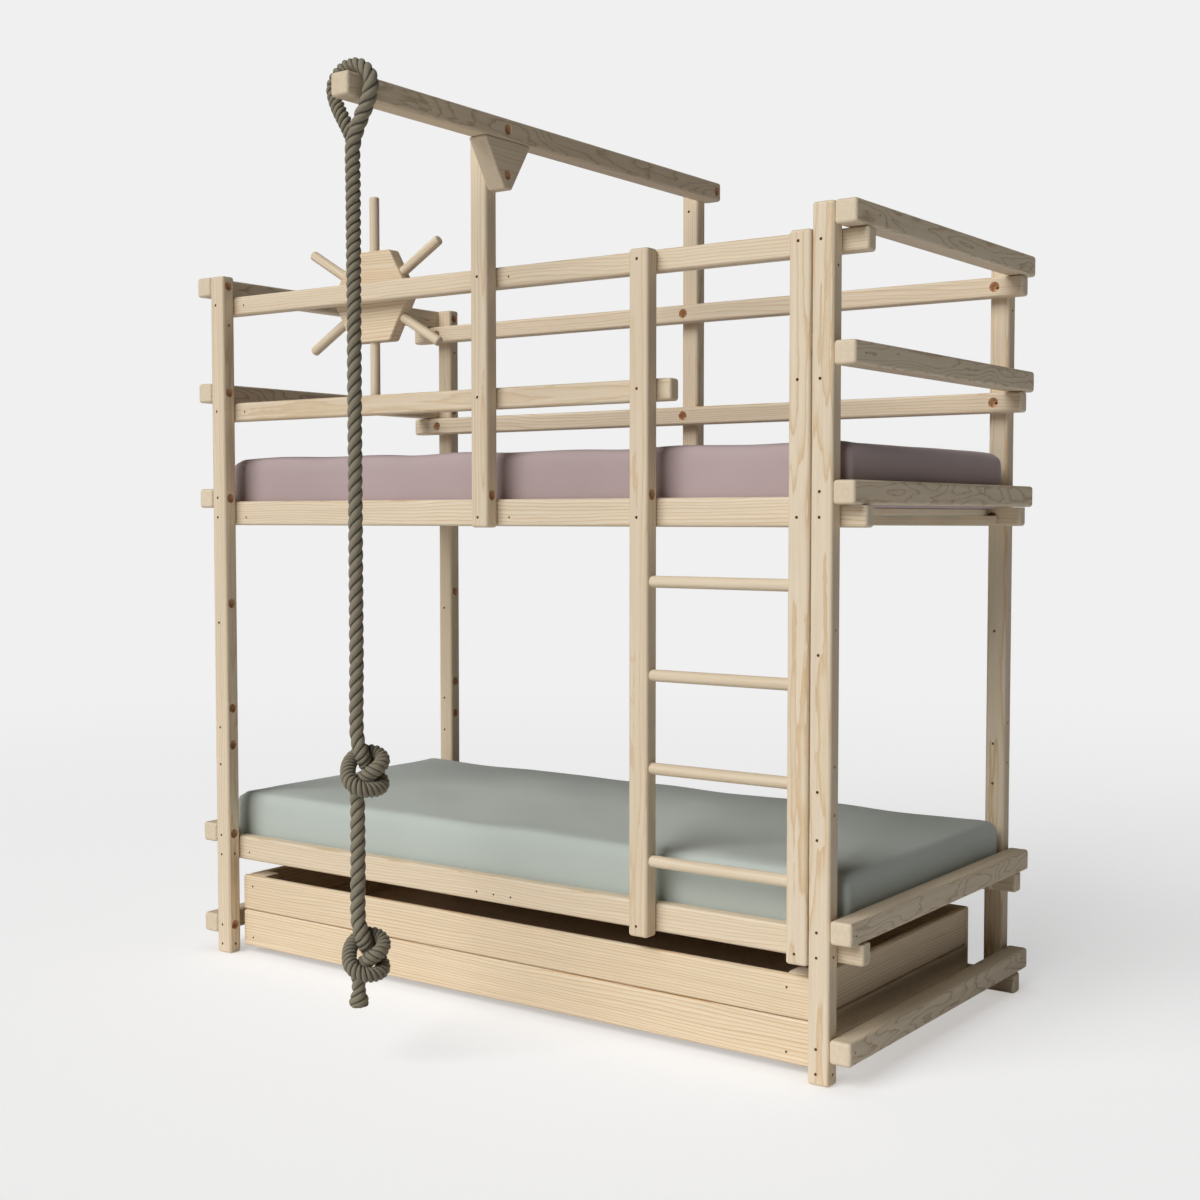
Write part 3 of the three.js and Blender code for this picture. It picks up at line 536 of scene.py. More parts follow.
def build_weave_group() -> None:
    """Node group of a plain weave: two sets of threads that pass over each other in turn.

    The thread's height is half of 1 plus the product of two sines, one along the bed and one
    along the sum of the other two coordinates.
    """
    shader, given, out = new_group("plain_weave", ("Threads per Metre",), ("Thread",))
    x, y, z = shader.add("SeparateXYZ", {0: given["Place"]}).outputs
    rate = shader.times(given["Threads per Metre"], math.pi)
    along = shader.math("SINE", shader.times(x, rate))
    across = shader.math("SINE", shader.times(shader.plus(y, z), rate))
    height = shader.plus(shader.times(shader.times(along, across), 0.5), 0.5)
    shader.feed(height, out["Thread"])


# Finishes


@dataclass(frozen=True)
class Finish:
    """A look, and the material that gives it to every piece that has it."""

    name: str

    def material(self) -> bpy.types.Material:
        """The finish's material, made on its first use."""
        title = self.name + "_finish"
        if title not in bpy.data.materials:
            material = bpy.data.materials.new(title)
            material.use_nodes = True
            shader = Shader(material.node_tree)
            shader.fill(material.node_tree.nodes["Principled BSDF"], self.look(shader))
        return bpy.data.materials[title]

    def look(self, shader: Shader) -> dict:
        """Lays the look's nodes.

        Args:
            shader: The material's node tree.

        Returns:
            Value or socket of each input of the Principled shader that the look sets.
        """
        raise NotImplementedError


@dataclass(frozen=True)
class PineFinish(Finish):
    """Planed and oiled pine: cream early wood with narrow honey-coloured late wood lines."""

    name: str = "pine"
    early: tuple = (0.760, 0.652, 0.500)
    middle: tuple = (0.735, 0.605, 0.435)
    late: tuple = (0.630, 0.440, 0.250)
    end: tuple = (0.74, 0.635, 0.48)
    rings: float = 135.0
    bends: tuple = (0.070, 0.014, 0.0026)
    line: float = 0.93
    line_width: float = 0.22
    lively: tuple = (0.55, 1.0)
    end_share: float = 0.8
    roughness: tuple = (0.50, 0.66)

    def look(self, shader: Shader) -> dict:
        """Lays the wood: ring lines, end wood, fibres, streaks and a tone of its own."""
        place, tone, end = (
            shader.add("Attribute", attribute_name=name).outputs
            for name in ("grain_place", "grain_tone", "grain_end")
        )
        grain = shader.group("growth_rings", {
            "Place": place["Vector"], "Rings per Metre": self.rings,
            "Slow Bend": self.bends[0], "Quick Bend": self.bends[1], "Fine Bend": self.bends[2],
        })
        lines = shader.ramp(grain["Ring"], [
            (0.0, self.early), (self.line - 2.2 * self.line_width, self.early),
            (self.line - self.line_width, self.middle), (self.line, self.late), (1.0, self.early),
        ])
        span = self.lively[1] - self.lively[0]
        lively = shader.plus(shader.times(tone["Fac"], span), self.lively[0])
        colour = shader.mix(lively, self.early, lines)
        colour = shader.mix(shader.times(end["Fac"], self.end_share), colour, self.end)
        for source, stops in (
            (grain["Fibre"], [(0.3, 0.94), (0.7, 1.03)]),
            (grain["Streak"], [(0.3, (0.96, 0.945, 0.92)), (0.72, 1.04)]),
            (tone["Fac"], [(0.0, (0.94, 0.915, 0.88)), (1.0, 1.02)]),
        ):
            colour = shader.mix(1.0, colour, shader.ramp(source, stops), "MULTIPLY")
        spread = self.roughness[1] - self.roughness[0]
        height = shader.plus(shader.times(grain["Fibre"], 0.5), grain["Ring"])
        return {
            "Base Color": colour,
            "Roughness": shader.plus(shader.times(grain["Fibre"], spread), self.roughness[0]),
            "Normal": shader.bump(height, 0.35, 0.00025),
            "Specular IOR Level": 0.35,
        }


@dataclass(frozen=True)
class ClothFinish(Finish):
    """Fine plain-woven mattress cover with soft blotches of tone."""

    light: tuple
    dark: tuple
    threads: float = 900.0

    def look(self, shader: Shader) -> dict:
        """Lays the cloth: blotches, painted shade in the weave's low places and its relief."""
        place = shader.add("TexCoord").outputs["Object"]
        weave = shader.group("plain_weave", {"Place": place, "Threads per Metre": self.threads})
        colour = shader.ramp(shader.noise(place, 3.0, 4.0), [(0.3, self.dark), (0.7, self.light)])
        # Painted shade: the weave's low places are darkened in the colour.
        weave_painted_shade = shader.ramp(weave["Thread"], [(0.0, 0.90), (1.0, 1.04)])
        return {
            "Base Color": shader.mix(1.0, colour, weave_painted_shade, "MULTIPLY"),
            "Normal": shader.bump(weave["Thread"], 0.3, 0.0004),
            "Roughness": 0.88, "Sheen Weight": 0.25, "Sheen Roughness": 0.5,
            "Specular IOR Level": 0.25,
        }


@dataclass(frozen=True)
class RopeFinish(Finish):
    """Laid natural fibre: fine yarns along each strand, dull grey-brown."""

    dark: tuple = (0.110, 0.095, 0.060)
    light: tuple = (0.315, 0.278, 0.200)
    yarns: tuple = (22.0, 7.0)

    def look(self, shader: Shader) -> dict:
        """Lays the rope: slanted yarns on each strand and loose fibre, with painted shade in the
        yarn grooves and the strand valleys.
        """
        lay = shader.add("UVMap", uv_map="lay").outputs[0]
        along, strand, _ = shader.add("SeparateXYZ", {0: lay}).outputs
        wobble = shader.noise(lay, 1.0, 2.0, (30, 3, 1))
        yarn = shader.plus(shader.times(strand, self.yarns[1]), shader.times(along, self.yarns[0]))
        yarn = shader.plus(yarn, shader.times(wobble, 0.6))
        ridge = shader.math("ABSOLUTE", shader.math("SINE", shader.times(yarn, math.pi)))
        fibre = shader.noise(lay, 1.0, 4.0, (90, 60, 1))
        height = shader.plus(shader.times(ridge, 0.6), shader.times(fibre, 0.4))
        # The colour runs from dark in the grooves between yarns (painted shade) to light on their
        # crests, and also varies with the loose fibre, a real tone.
        colour = shader.ramp(height, [(0.10, self.dark), (0.75, self.light)])
        # Painted shade: the colour darkens towards the valleys between the strands.
        across = shader.math("SUBTRACT", shader.math("FRACT", strand), 0.5)
        from_valley = shader.math("SUBTRACT", 0.5, shader.math("ABSOLUTE", across))
        painted_valley_shade = shader.ramp(from_valley, [(0.0, 0.22), (0.07, 0.55), (0.20, 1.0)])
        return {
            "Base Color": shader.mix(1.0, colour, painted_valley_shade, "MULTIPLY"),
            "Normal": shader.bump(height, 0.7, 0.0010),
            "Roughness": 0.86, "Sheen Weight": 0.15, "Specular IOR Level": 0.3,
        }


@dataclass(frozen=True)
class SteelFinish(Finish):
    """Zinc-plated steel with fine turning marks."""

    colour: tuple = (0.52, 0.52, 0.53)

    def look(self, shader: Shader) -> dict:
        """Lays the steel: a mottle in its colour and its roughness."""
        mottle = shader.noise(shader.add("TexCoord").outputs["Object"], 400.0, 3.0)
        low = tuple(0.75 * part for part in self.colour)
        return {
            "Base Color": shader.ramp(mottle, [(0.3, low), (0.7, self.colour)]),
            "Roughness": shader.plus(shader.times(mottle, 0.3), 0.22),
            "Metallic": 1.0,
        }


@dataclass(frozen=True)
class PlasticFinish(Finish):
    """Dark hard plastic with a fine moulded grain."""

    colour: tuple = (0.045, 0.045, 0.048)

    def look(self, shader: Shader) -> dict:
        """Lays the plastic: a fine grain in its colour and its relief."""
        grain = shader.noise(shader.add("TexCoord").outputs["Object"], 1500.0, 2.0)
        light = tuple(1.5 * part for part in self.colour)
        return {
            "Base Color": shader.ramp(grain, [(0.35, self.colour), (0.7, light)]),
            "Normal": shader.bump(grain, 0.2, 0.0002),
            "Roughness": 0.5,
        }


PINE = PineFinish()
PINE_SPLAYED = PineFinish(
    name="pine_splayed",
    middle=(0.695, 0.580, 0.425),
    late=(0.475, 0.360, 0.235),
    rings=190.0,
    bends=(0.070, 0.045, 0.0045),
    line_width=0.17,
    lively=(0.80, 1.0),
)
PINE_INSIDE = PineFinish(
    name="pine_inside",
    early=(0.83, 0.595, 0.410),
    middle=(0.77, 0.540, 0.360),
    late=(0.62, 0.415, 0.260),
    end=(0.77, 0.54, 0.36),
)
PINE_BOARD = PineFinish(
    name="pine_board",
    early=(0.790, 0.672, 0.505),
    middle=(0.765, 0.610, 0.415),
    late=(0.650, 0.425, 0.215),
    rings=125.0,
    bends=(0.060, 0.008, 0.0016),
    line_width=0.26,
    lively=(0.80, 1.0),
)
PINE_BORE = PineFinish(
    name="pine_bore",
    early=(0.860, 0.640, 0.440),
    middle=(0.800, 0.575, 0.380),
    late=(0.620, 0.410, 0.250),
    end=(0.820, 0.600, 0.400),
)
# Wood inside the small pilot holes, painted far darker than the plain pine: painted shade in the
# narrow holes.
PINE_PILOT_PAINTED_SHADE = PineFinish(
    name="pine_pilot_painted_shade",
    early=(0.480, 0.320, 0.190),
    middle=(0.440, 0.290, 0.170),
    late=(0.340, 0.210, 0.120),
    end=(0.460, 0.300, 0.180),
)
CLOTH_UPPER = ClothFinish("cloth_upper", light=(0.49, 0.385, 0.385), dark=(0.45, 0.35, 0.35))
CLOTH_LOWER = ClothFinish("cloth_lower", light=(0.52, 0.57, 0.525), dark=(0.48, 0.53, 0.485))
ROPE = RopeFinish("rope_fibre")
STEEL = SteelFinish("steel")
PLASTIC = PlasticFinish("wheel_plastic")


# Wood


def mark_grain(
    obj: Object, along: Array, origin: Array, seed: int, pith: tuple | None = None,
) -> None:
    """Stores where each point of a timber lies in its own stem, for the pine material.

    The first coordinate runs along the grain, and the other two are measured from the pith,
    which lies 30 to 100 mm from the timber's middle in a direction of its own where its place
    isn't given. A second attribute is 1 on the timber's end faces and fades out round their
    edges.

    Args:
        obj: The timber.
        along: Direction of the grain.
        origin: The timber's middle.
        seed: Number that gives this timber its own stem.
        pith: Place of the pith from the timber's middle.
    """
    rng = np.random.default_rng(seed)
    first, second, third = sideways(along)
    local = (mesh_points(obj) - origin) @ np.array([third, first, second]).T
    from_end = np.minimum(local[:, 0] - local[:, 0].min(), local[:, 0].max() - local[:, 0])
    ends = np.clip(1 - from_end / END_FADE, 0, 1).astype(np.float32)
    angle = rng.uniform(0, 2 * math.pi)
    reach = rng.uniform(0.030, 0.100)
    local += [rng.uniform(0, 40), reach * math.cos(angle), reach * math.sin(angle)]
    if pith is not None:
        turned = np.array([first, second]) @ (np.array(pith) * rng.uniform(0.85, 1.2, 3))
        local[:, 1:] -= turned + reach * np.array([math.cos(angle), math.sin(angle)])
    place = obj.data.attributes.new("grain_place", "FLOAT_VECTOR", "POINT")
    place.data.foreach_set("vector", local.astype(np.float32).ravel())
    tones = np.full(len(local), rng.uniform(0, 1), np.float32)
    for name, values in (("grain_tone", tones), ("grain_end", ends)):
        obj.data.attributes.new(name, "FLOAT", "POINT").data.foreach_set("value", values)


@dataclass(frozen=True)
class Pilot:
    """A small drilled hole that shows on an outer face: its mouth's middle and the way it goes."""

    mouth: tuple
    along: tuple
    radius: float = 3.7 * MM
    depth: float = 7 * MM
    rim: float = 0.3 * MM
    over: float = 1 * MM
    sides: int = 16

    def profile(self) -> list:
        """The tool's rings: a straight drill with a small cone at the rim."""
        return [
            (self.radius + self.rim + self.over, -self.over), (self.radius, self.rim),
            (self.radius, self.depth),
        ]

    def cutter(self) -> Surface:
        """The tool that cuts the hole, in its place."""
        return aimed(lathe(self.profile(), self.sides), np.array(self.mouth), np.array(self.along))


@dataclass(frozen=True)
class Bore(Pilot):
    """A counterbored screw hole, with the screw's own hole through the wood behind it."""

    radius: float = 14 * MM
    depth: float = 22 * MM
    rim: float = 0.8 * MM
    over: float = 2 * MM
    sides: int = 40
    screw: float = 4 * MM
    thickness: float = 57 * MM

    def profile(self) -> list:
        """The tool's rings: a drill, then the screw's hole."""
        return super().profile() + [
            (self.screw, self.depth), (self.screw, self.thickness + self.over),
        ]


class Workshop:
    """Makes timbers in the place of their CAD nodes and counts them, so each has its own stem."""

    def __init__(self) -> None:
        """Starts the count."""
        self.count = 0

    def seed(self) -> int:
        """The next timber's number."""
        self.count += 1
        return 1000 + 17 * self.count

    def timber(
        self, node: str, axis: Axis, body: str = "frame", low: Array | None = None,
        high: Array | None = None, corner: float = 8.5 * MM, end: float = 8 * MM,
        holes: list | tuple = (), notches: list | tuple = (), finish: PineFinish = PINE,
        slot: str = "pine", pith: tuple | None = None,
    ) -> Object:
        """Makes one timber of rectangular section in the place of a CAD node.

        Args:
            node: CAD node that the timber stands for.
            axis: Axis of its length and grain.
            body: Body that it rides on.
            low: Lowest corner, or None for the node's own.
            high: Highest corner, or None for the node's own.
            corner: Radius of the long edges.
            end: Radius of the end edges.
            holes: Bores and pilots to cut.
            notches: Pairs of corners of boxes to cut away.
            finish: Its pine finish.
            slot: Its material slot; not used.
            pith: Place of the pith from the timber's middle, or None for one of its own.

        Returns:
            The finished timber.
        """
        given = box_of(node)
        low = given[0] if low is None else np.asarray(low, float)
        high = given[1] if high is None else np.asarray(high, float)
        size, middle = high - low, (low + high) / 2
        first, second = (axis.value + 1) % 3, (axis.value + 2) % 3
        bar = prism(rectangle(size[first], size[second]), size[axis.value], corner, end)
        start = np.where(axis.unit() > 0, low, middle)
        obj = new_object(node + "_wood", axis.laid(bar, start), finish.material())
        # Bores show their drilled wood; pilots show wood darkened as painted shade.
        for kind, inside in ((Bore, PINE_BORE), (Pilot, PINE_PILOT_PAINTED_SHADE)):
            tools = [hole.cutter() for hole in holes if type(hole) is kind]
            if tools:
                cut(obj, joined(tools), inside.material())
        if notches:
            cut(obj, joined([block_between(*notch) for notch in notches]), finish.material())
        return self.finish(obj, axis.unit(), middle, node, body=body, slot=slot, pith=pith)

    def finish(
        self, obj: Object, along: Array, middle: Array, *nodes: str,
        body: str = "frame", slot: str = "pine", pith: tuple | None = None,
    ) -> Object:
        """Shades and attaches a wooden piece and lays its grain.

        Args:
            obj: The piece, with its material.
            along: Direction of its grain.
            middle: Its middle.
            nodes: CAD nodes that it stands for.
            body: Body that it rides on.
            slot: Its material slot; not used.
            pith: Place of the pith from the piece's middle.

        Returns:
            The same piece.
        """
        shade(obj, 40)
        weigh_normals(obj)
        mark_grain(obj, along, middle, self.seed(), pith)
        return attach(obj, body, slot, *nodes)


def block_between(low: Array, high: Array) -> Surface:
    """A plain box between two corners, as a cutting tool."""
    size = np.subtract(high, low)
    corners = rectangle(size[0], size[1]) + np.add(low, high)[:2] / 2
    rings = np.array([np.column_stack([corners, np.full(4, z)]) for z in (low[2], high[2])])
    return ring_surface(rings)


# The bed's frame


def bed(x: float, y: float, z: float) -> tuple:
    """A place given in millimetres from the front left post's foot, in the part's frame."""
    return ((x - 1045.0) * MM, (y - 252.3) * MM, z * MM)


POST_INNER = {"left": 57.0, "right": 2043.0}
POST_OUTER = {"left": 0.0, "right": 2100.0}
POST_LINES = {"front": 22.5, "rear": 1050.1}
OUTWARD = {"left": -1, "right": 1}
POST_HALF = 22.5
TOWARDS_WALL = (0, 1, 0)
TOWARDS_LEFT = (-1, 0, 0)


class Assembly:
    """A sub-assembly of timbers and a few other pieces."""

    def build(self, shop: Workshop) -> list:
        """Builds all of its pieces.

        Args:
            shop: Maker of the timbers, which gives each one a stem of its own.

        Returns:
            The pieces.
        """
        return list(self.pieces(shop))

    def pieces(self, shop: Workshop) -> Iterable[Object]:
        """Makes the pieces one by one, always in the same order."""
        raise NotImplementedError


@dataclass
class CornerPosts(Assembly):
    """The four corner posts with their rows of counterbores and a few pilot holes."""

    levels: tuple = (2017.5, 1700.5, 1383.5, 1066.5, 749.5, 637.0, 365.5, 86.0)
    front_pilots: tuple = (
        1960.0, 1643.5, 1385.0, 1326.0, 1008.0, 690.0, 577.5, 361.0, 301.5, 86.0, 27.0,
    )
    side_pilots: tuple = (1900.0, 304.0, 27.0)
    aside: float = -5.0
    piths: dict = field(default_factory=lambda: {
        "left": (0.080, 0.020, 0), "right": (-0.012, 0.070, 0),
    })

    def pieces(self, shop: Workshop) -> Iterable[Object]:
        """Builds the posts."""
        for side, out in OUTWARD.items():
            for row, line in POST_LINES.items():
                middle = (POST_OUTER[side] + POST_INNER[side]) / 2 + self.aside
                face = line - POST_HALF
                holes = [Bore(bed(POST_INNER[side], line, z), (out, 0, 0)) for z in self.levels]
                holes += [Pilot(bed(middle, face, z), TOWARDS_WALL) for z in self.front_pilots]
                for outer, way in ((POST_OUTER[side], -out), (POST_INNER[side], out)):
                    holes += [
                        Pilot(bed(outer, line, z), (way, 0, 0)) for z in self.side_pilots
                    ]
                yield shop.timber(
                    f"post_{row}_{side}", Axis.Z, holes=holes, pith=self.piths[side],
                )


@dataclass
class EndRails(Assembly):
    """The square rails screwed to the posts' outer faces, five at each end."""

    names: tuple = ("top", "guard", "upper", "lower", "floor")
    outer: dict = field(default_factory=lambda: {"left": -57.3, "right": 2157.3})
    pilots: dict = field(default_factory=lambda: {
        "top": ((50.5, 2019.8), (115.0, 2019.7)), "guard": ((50.0, 1700.5),),
        "lower": ((25.0, 362.0),), "floor": ((25.4, 89.0),),
    })
    pilot_radius: float = 2.6 * MM
    pith: tuple = (0.105, 0, 0.012)

    def holes(self, side: str, name: str) -> list:
        """The pilot holes in a rail's outer face."""
        return [
            Pilot(bed(self.outer[side], y, z), (-OUTWARD[side], 0, 0), self.pilot_radius)
            for y, z in self.pilots.get(name, ())
        ]

    def pieces(self, shop: Workshop) -> Iterable[Object]:
        """Builds the rails, each with its pith on the inner side."""
        for side, out in OUTWARD.items():
            pith = (-out * self.pith[0], *self.pith[1:])
            for name in self.names:
                yield shop.timber(
                    f"{side}_end_rail_{name}", Axis.Y, finish=PINE_SPLAYED, pith=pith,
                    holes=self.holes(side, name),
                )


@dataclass
class LongRails(Assembly):
    """The long rails behind the posts; the bed rails are notched and carry a ledger.

    Each rail has the height of its underside, its own height, the places of its screws along
    the bed and those of its pilot holes.
    """

    rails: dict = field(default_factory=lambda: {
        "front_guard_rail_top": (
            1931.5, 56, (28.5, 1048.5, 1560.5, 2011.5, 2071.5), (96.0, 1115.0),
        ),
        "front_guard_rail_mid": (1614.5, 56, (28.5, 1048.5, 1560.5), (96.0,)),
        "front_bed_rail_upper": (
            1302.5, 72, (28.5, 1048.5, 1560.5, 2011.5, 2071.5), (98.0, 1115.0),
        ),
        "front_bed_rail_lower": (
            284.5, 72, (28.5, 1560.5, 2011.5, 2071.5), (97.0, 997.0, 1057.0, 1116.0),
        ),
        "rear_guard_rail_top": (1931.5, 56, (28.5, 1048.5, 2071.5), ()),
        "rear_guard_rail_mid": (1614.5, 56, (28.5, 1048.5, 2071.5), ()),
        "rear_bed_rail_upper": (1302.5, 72, (28.5, 1048.5, 2071.5), ()),
        "rear_bed_rail_lower": (284.5, 72, (28.5, 2071.5), ()),
        "rear_floor_rail": (0, 56, (28.5, 2071.5), ()),
    })
    screw_lines: dict = field(default_factory=lambda: {56: 28.0, 72: 23.5})
    pith: tuple = (0, 0.035, -0.095)
    piths: dict = field(default_factory=lambda: {
        "front_guard_rail_mid": (0, 0.062, -0.004), "rear_bed_rail_lower": (0, 0.080, 0.020),
    })
    front: tuple = (45.3, 85.3)
    rear: tuple = (987.3, 1027.3)
    bed_length: float = 2100.0
    seat: float = 51.0
    ledger_top: float = 28.4
    ledger: float = 24.0
    ledger_margin: float = 12.0
    wheel_x: float = 573.0
    wheel_hole: tuple = (1953.0, 6.3 * MM, 27 * MM)
    thickness: float = 40 * MM
    pilot_radius: float = 2.8 * MM
    margin: float = 10 * MM

    def pieces(self, shop: Workshop) -> Iterable[Object]:
        """Builds the rails and their ledgers."""
        for node, (z, tall, screws, pilots) in self.rails.items():
            front = node.startswith("front")
            faces = self.front if front else self.rear
            mouth, way = (faces[1], (0, -1, 0)) if front else (faces[0], TOWARDS_WALL)
            low, high = box_of(node)
            low[1], high[1] = (bed(0, face, 0)[1] for face in faces)
            line = z + self.screw_lines[tall]
            holes = [Bore(bed(x, mouth, line), way, thickness=self.thickness) for x in screws]
            holes += [
                Pilot(bed(x, self.front[0], line), TOWARDS_WALL, self.pilot_radius)
                for x in pilots
            ]
            if node == "front_guard_rail_top":
                height, radius, depth = self.wheel_hole
                holes.append(Pilot(bed(self.wheel_x, mouth, height), way, radius, depth))
            notches = []
            if "bed_rail" in node:
                seat = (z + self.seat) * MM
                near, far = low - self.margin, high + self.margin
                notches = [
                    ((near[0], near[1], seat), (bed(0, 0, 0)[0], far[1], far[2])),
                    ((bed(self.bed_length, 0, 0)[0], near[1], seat), far),
                ]
                yield self.strip(shop, node, z, front)
            yield shop.timber(
                node, Axis.X, low=low, high=high, holes=holes, notches=notches,
                pith=self.piths.get(node, self.pith),
            )

    def strip(self, shop: Workshop, node: str, z: float, front: bool) -> Object:
        """Builds the strip inside a bed rail that carries the slats.

        Args:
            shop: Maker of the timbers.
            node: The rail's CAD node.
            z: The rail's underside.
            front: Whether the rail is a front one.

        Returns:
            The strip.
        """
        y = self.front[1] if front else self.rear[0] - self.ledger
        low = np.array(bed(self.ledger_margin, y, z + self.ledger_top - self.ledger))
        high = np.array(bed(
            self.bed_length - self.ledger_margin, y + self.ledger, z + self.ledger_top,
        ))
        size, middle = high - low, (low + high) / 2
        bar = prism(rectangle(size[1], size[2]), size[0], 2.5 * MM, 2 * MM, 3)
        start = middle - [size[0] / 2, 0, 0]
        obj = new_object(node + "_ledger", Axis.X.laid(bar, start), PINE.material())
        return shop.finish(obj, Axis.X.unit(), middle)


@dataclass
class SwingFrame(Assembly):
    """The two swing posts, the beam on their right faces and the gusset under it."""

    post_face: float = 1077.0
    post_bore: float = 1385.0
    pilot_x: float = 1044.0
    pilots: dict = field(default_factory=lambda: {
        "front": (1960.0, 1643.5, 1326.0), "rear": (2280.0,),
    })
    beam_face: float = 1134.3
    beam_z: float = 2335.5
    pith: tuple = (-0.11, 0, 0.01)
    gusset: tuple = ((96, 0), (-96, 0), (-15, -126), (15, -126))
    gusset_face: float = 1077.3
    gusset_top: float = 2306.7
    gusset_hole: float = 88.0

    def pieces(self, shop: Workshop) -> Iterable[Object]:
        """Builds the swing's timbers."""
        for row, line in POST_LINES.items():
            holes = [Bore(bed(self.post_face, line, self.post_bore), TOWARDS_LEFT)]
            holes += [
                Pilot(bed(self.pilot_x, line - POST_HALF, z), TOWARDS_WALL)
                for z in self.pilots[row]
            ]
            yield shop.timber(f"swing_post_{row}", Axis.Z, holes=holes)
        holes = [
            Bore(bed(self.beam_face, line, self.beam_z), TOWARDS_LEFT)
            for line in POST_LINES.values()
        ]
        yield shop.timber(
            "swing_beam", Axis.Y, holes=holes, finish=PINE_SPLAYED, pith=self.pith,
        )
        low, high = box_of("swing_gusset")
        line = POST_LINES["front"]
        plate = prism(np.array(self.gusset) * MM, high[0] - low[0], 5 * MM, 5 * MM)
        place = bed(self.gusset_face, line, self.gusset_top)
        obj = new_object("swing_gusset_wood", Axis.X.laid(plate, place), PINE.material())
        mouth = bed(self.beam_face, line, self.gusset_top - self.gusset_hole)
        cut(obj, Bore(mouth, TOWARDS_LEFT).cutter(), PINE_BORE.material())
        yield shop.finish(obj, Axis.Y.unit(), (low + high) / 2, "swing_gusset")


def round_bar(
    start: Array, along: Array, length: float, radius: float, end: float, sides: int = 40,
) -> Surface:
    """A round bar with rounded end edges, from the middle of its first end on."""
    turn = np.linspace(0, math.pi / 2, 6)
    foot = np.column_stack([radius - end + end * np.sin(turn), end * (1 - np.cos(turn))])
    head = np.column_stack([foot[::-1, 0], length - foot[::-1, 1]])
    return aimed(lathe(np.vstack([foot, head]), sides), np.array(start), np.array(along))


@dataclass
class Ladder(Assembly):
    """Two ladder rails in line with the posts and four round rungs between them."""

    rails: dict = field(default_factory=lambda: {"left": 1560.5, "right": 2011.5})
    pilots: tuple = (1961.0, 1643.5, 1326.0, 302.0)
    aside: float = -4.0
    bore: tuple = (1589.0, 1383.0)
    rung_radius: float = 15 * MM
    piths: dict = field(default_factory=lambda: {
        "left": (-0.030, 0.060, 0), "right": (0.004, 0.062, 0),
    })

    def pieces(self, shop: Workshop) -> Iterable[Object]:
        """Builds the ladder."""
        for side, x in self.rails.items():
            holes = [Pilot(bed(x + self.aside, 0, z), TOWARDS_WALL) for z in self.pilots]
            if side == "left":
                face, z = self.bore
                holes.append(Bore(bed(face, POST_LINES["front"], z), TOWARDS_LEFT))
            yield shop.timber(
                f"ladder_rail_{side}", Axis.Z, holes=holes, pith=self.piths[side],
            )
        for number in range(1, 5):
            node = f"ladder_rung_{number}"
            low, high = box_of(node)
            middle = (low + high) / 2
            start = np.array([low[0], middle[1], middle[2]])
            bar = round_bar(start, Axis.X.unit(), high[0] - low[0], self.rung_radius, 1 * MM)
            obj = new_object(node + "_wood", bar, PINE.material())
            yield shop.finish(obj, Axis.X.unit(), middle, node)


# Play wheel


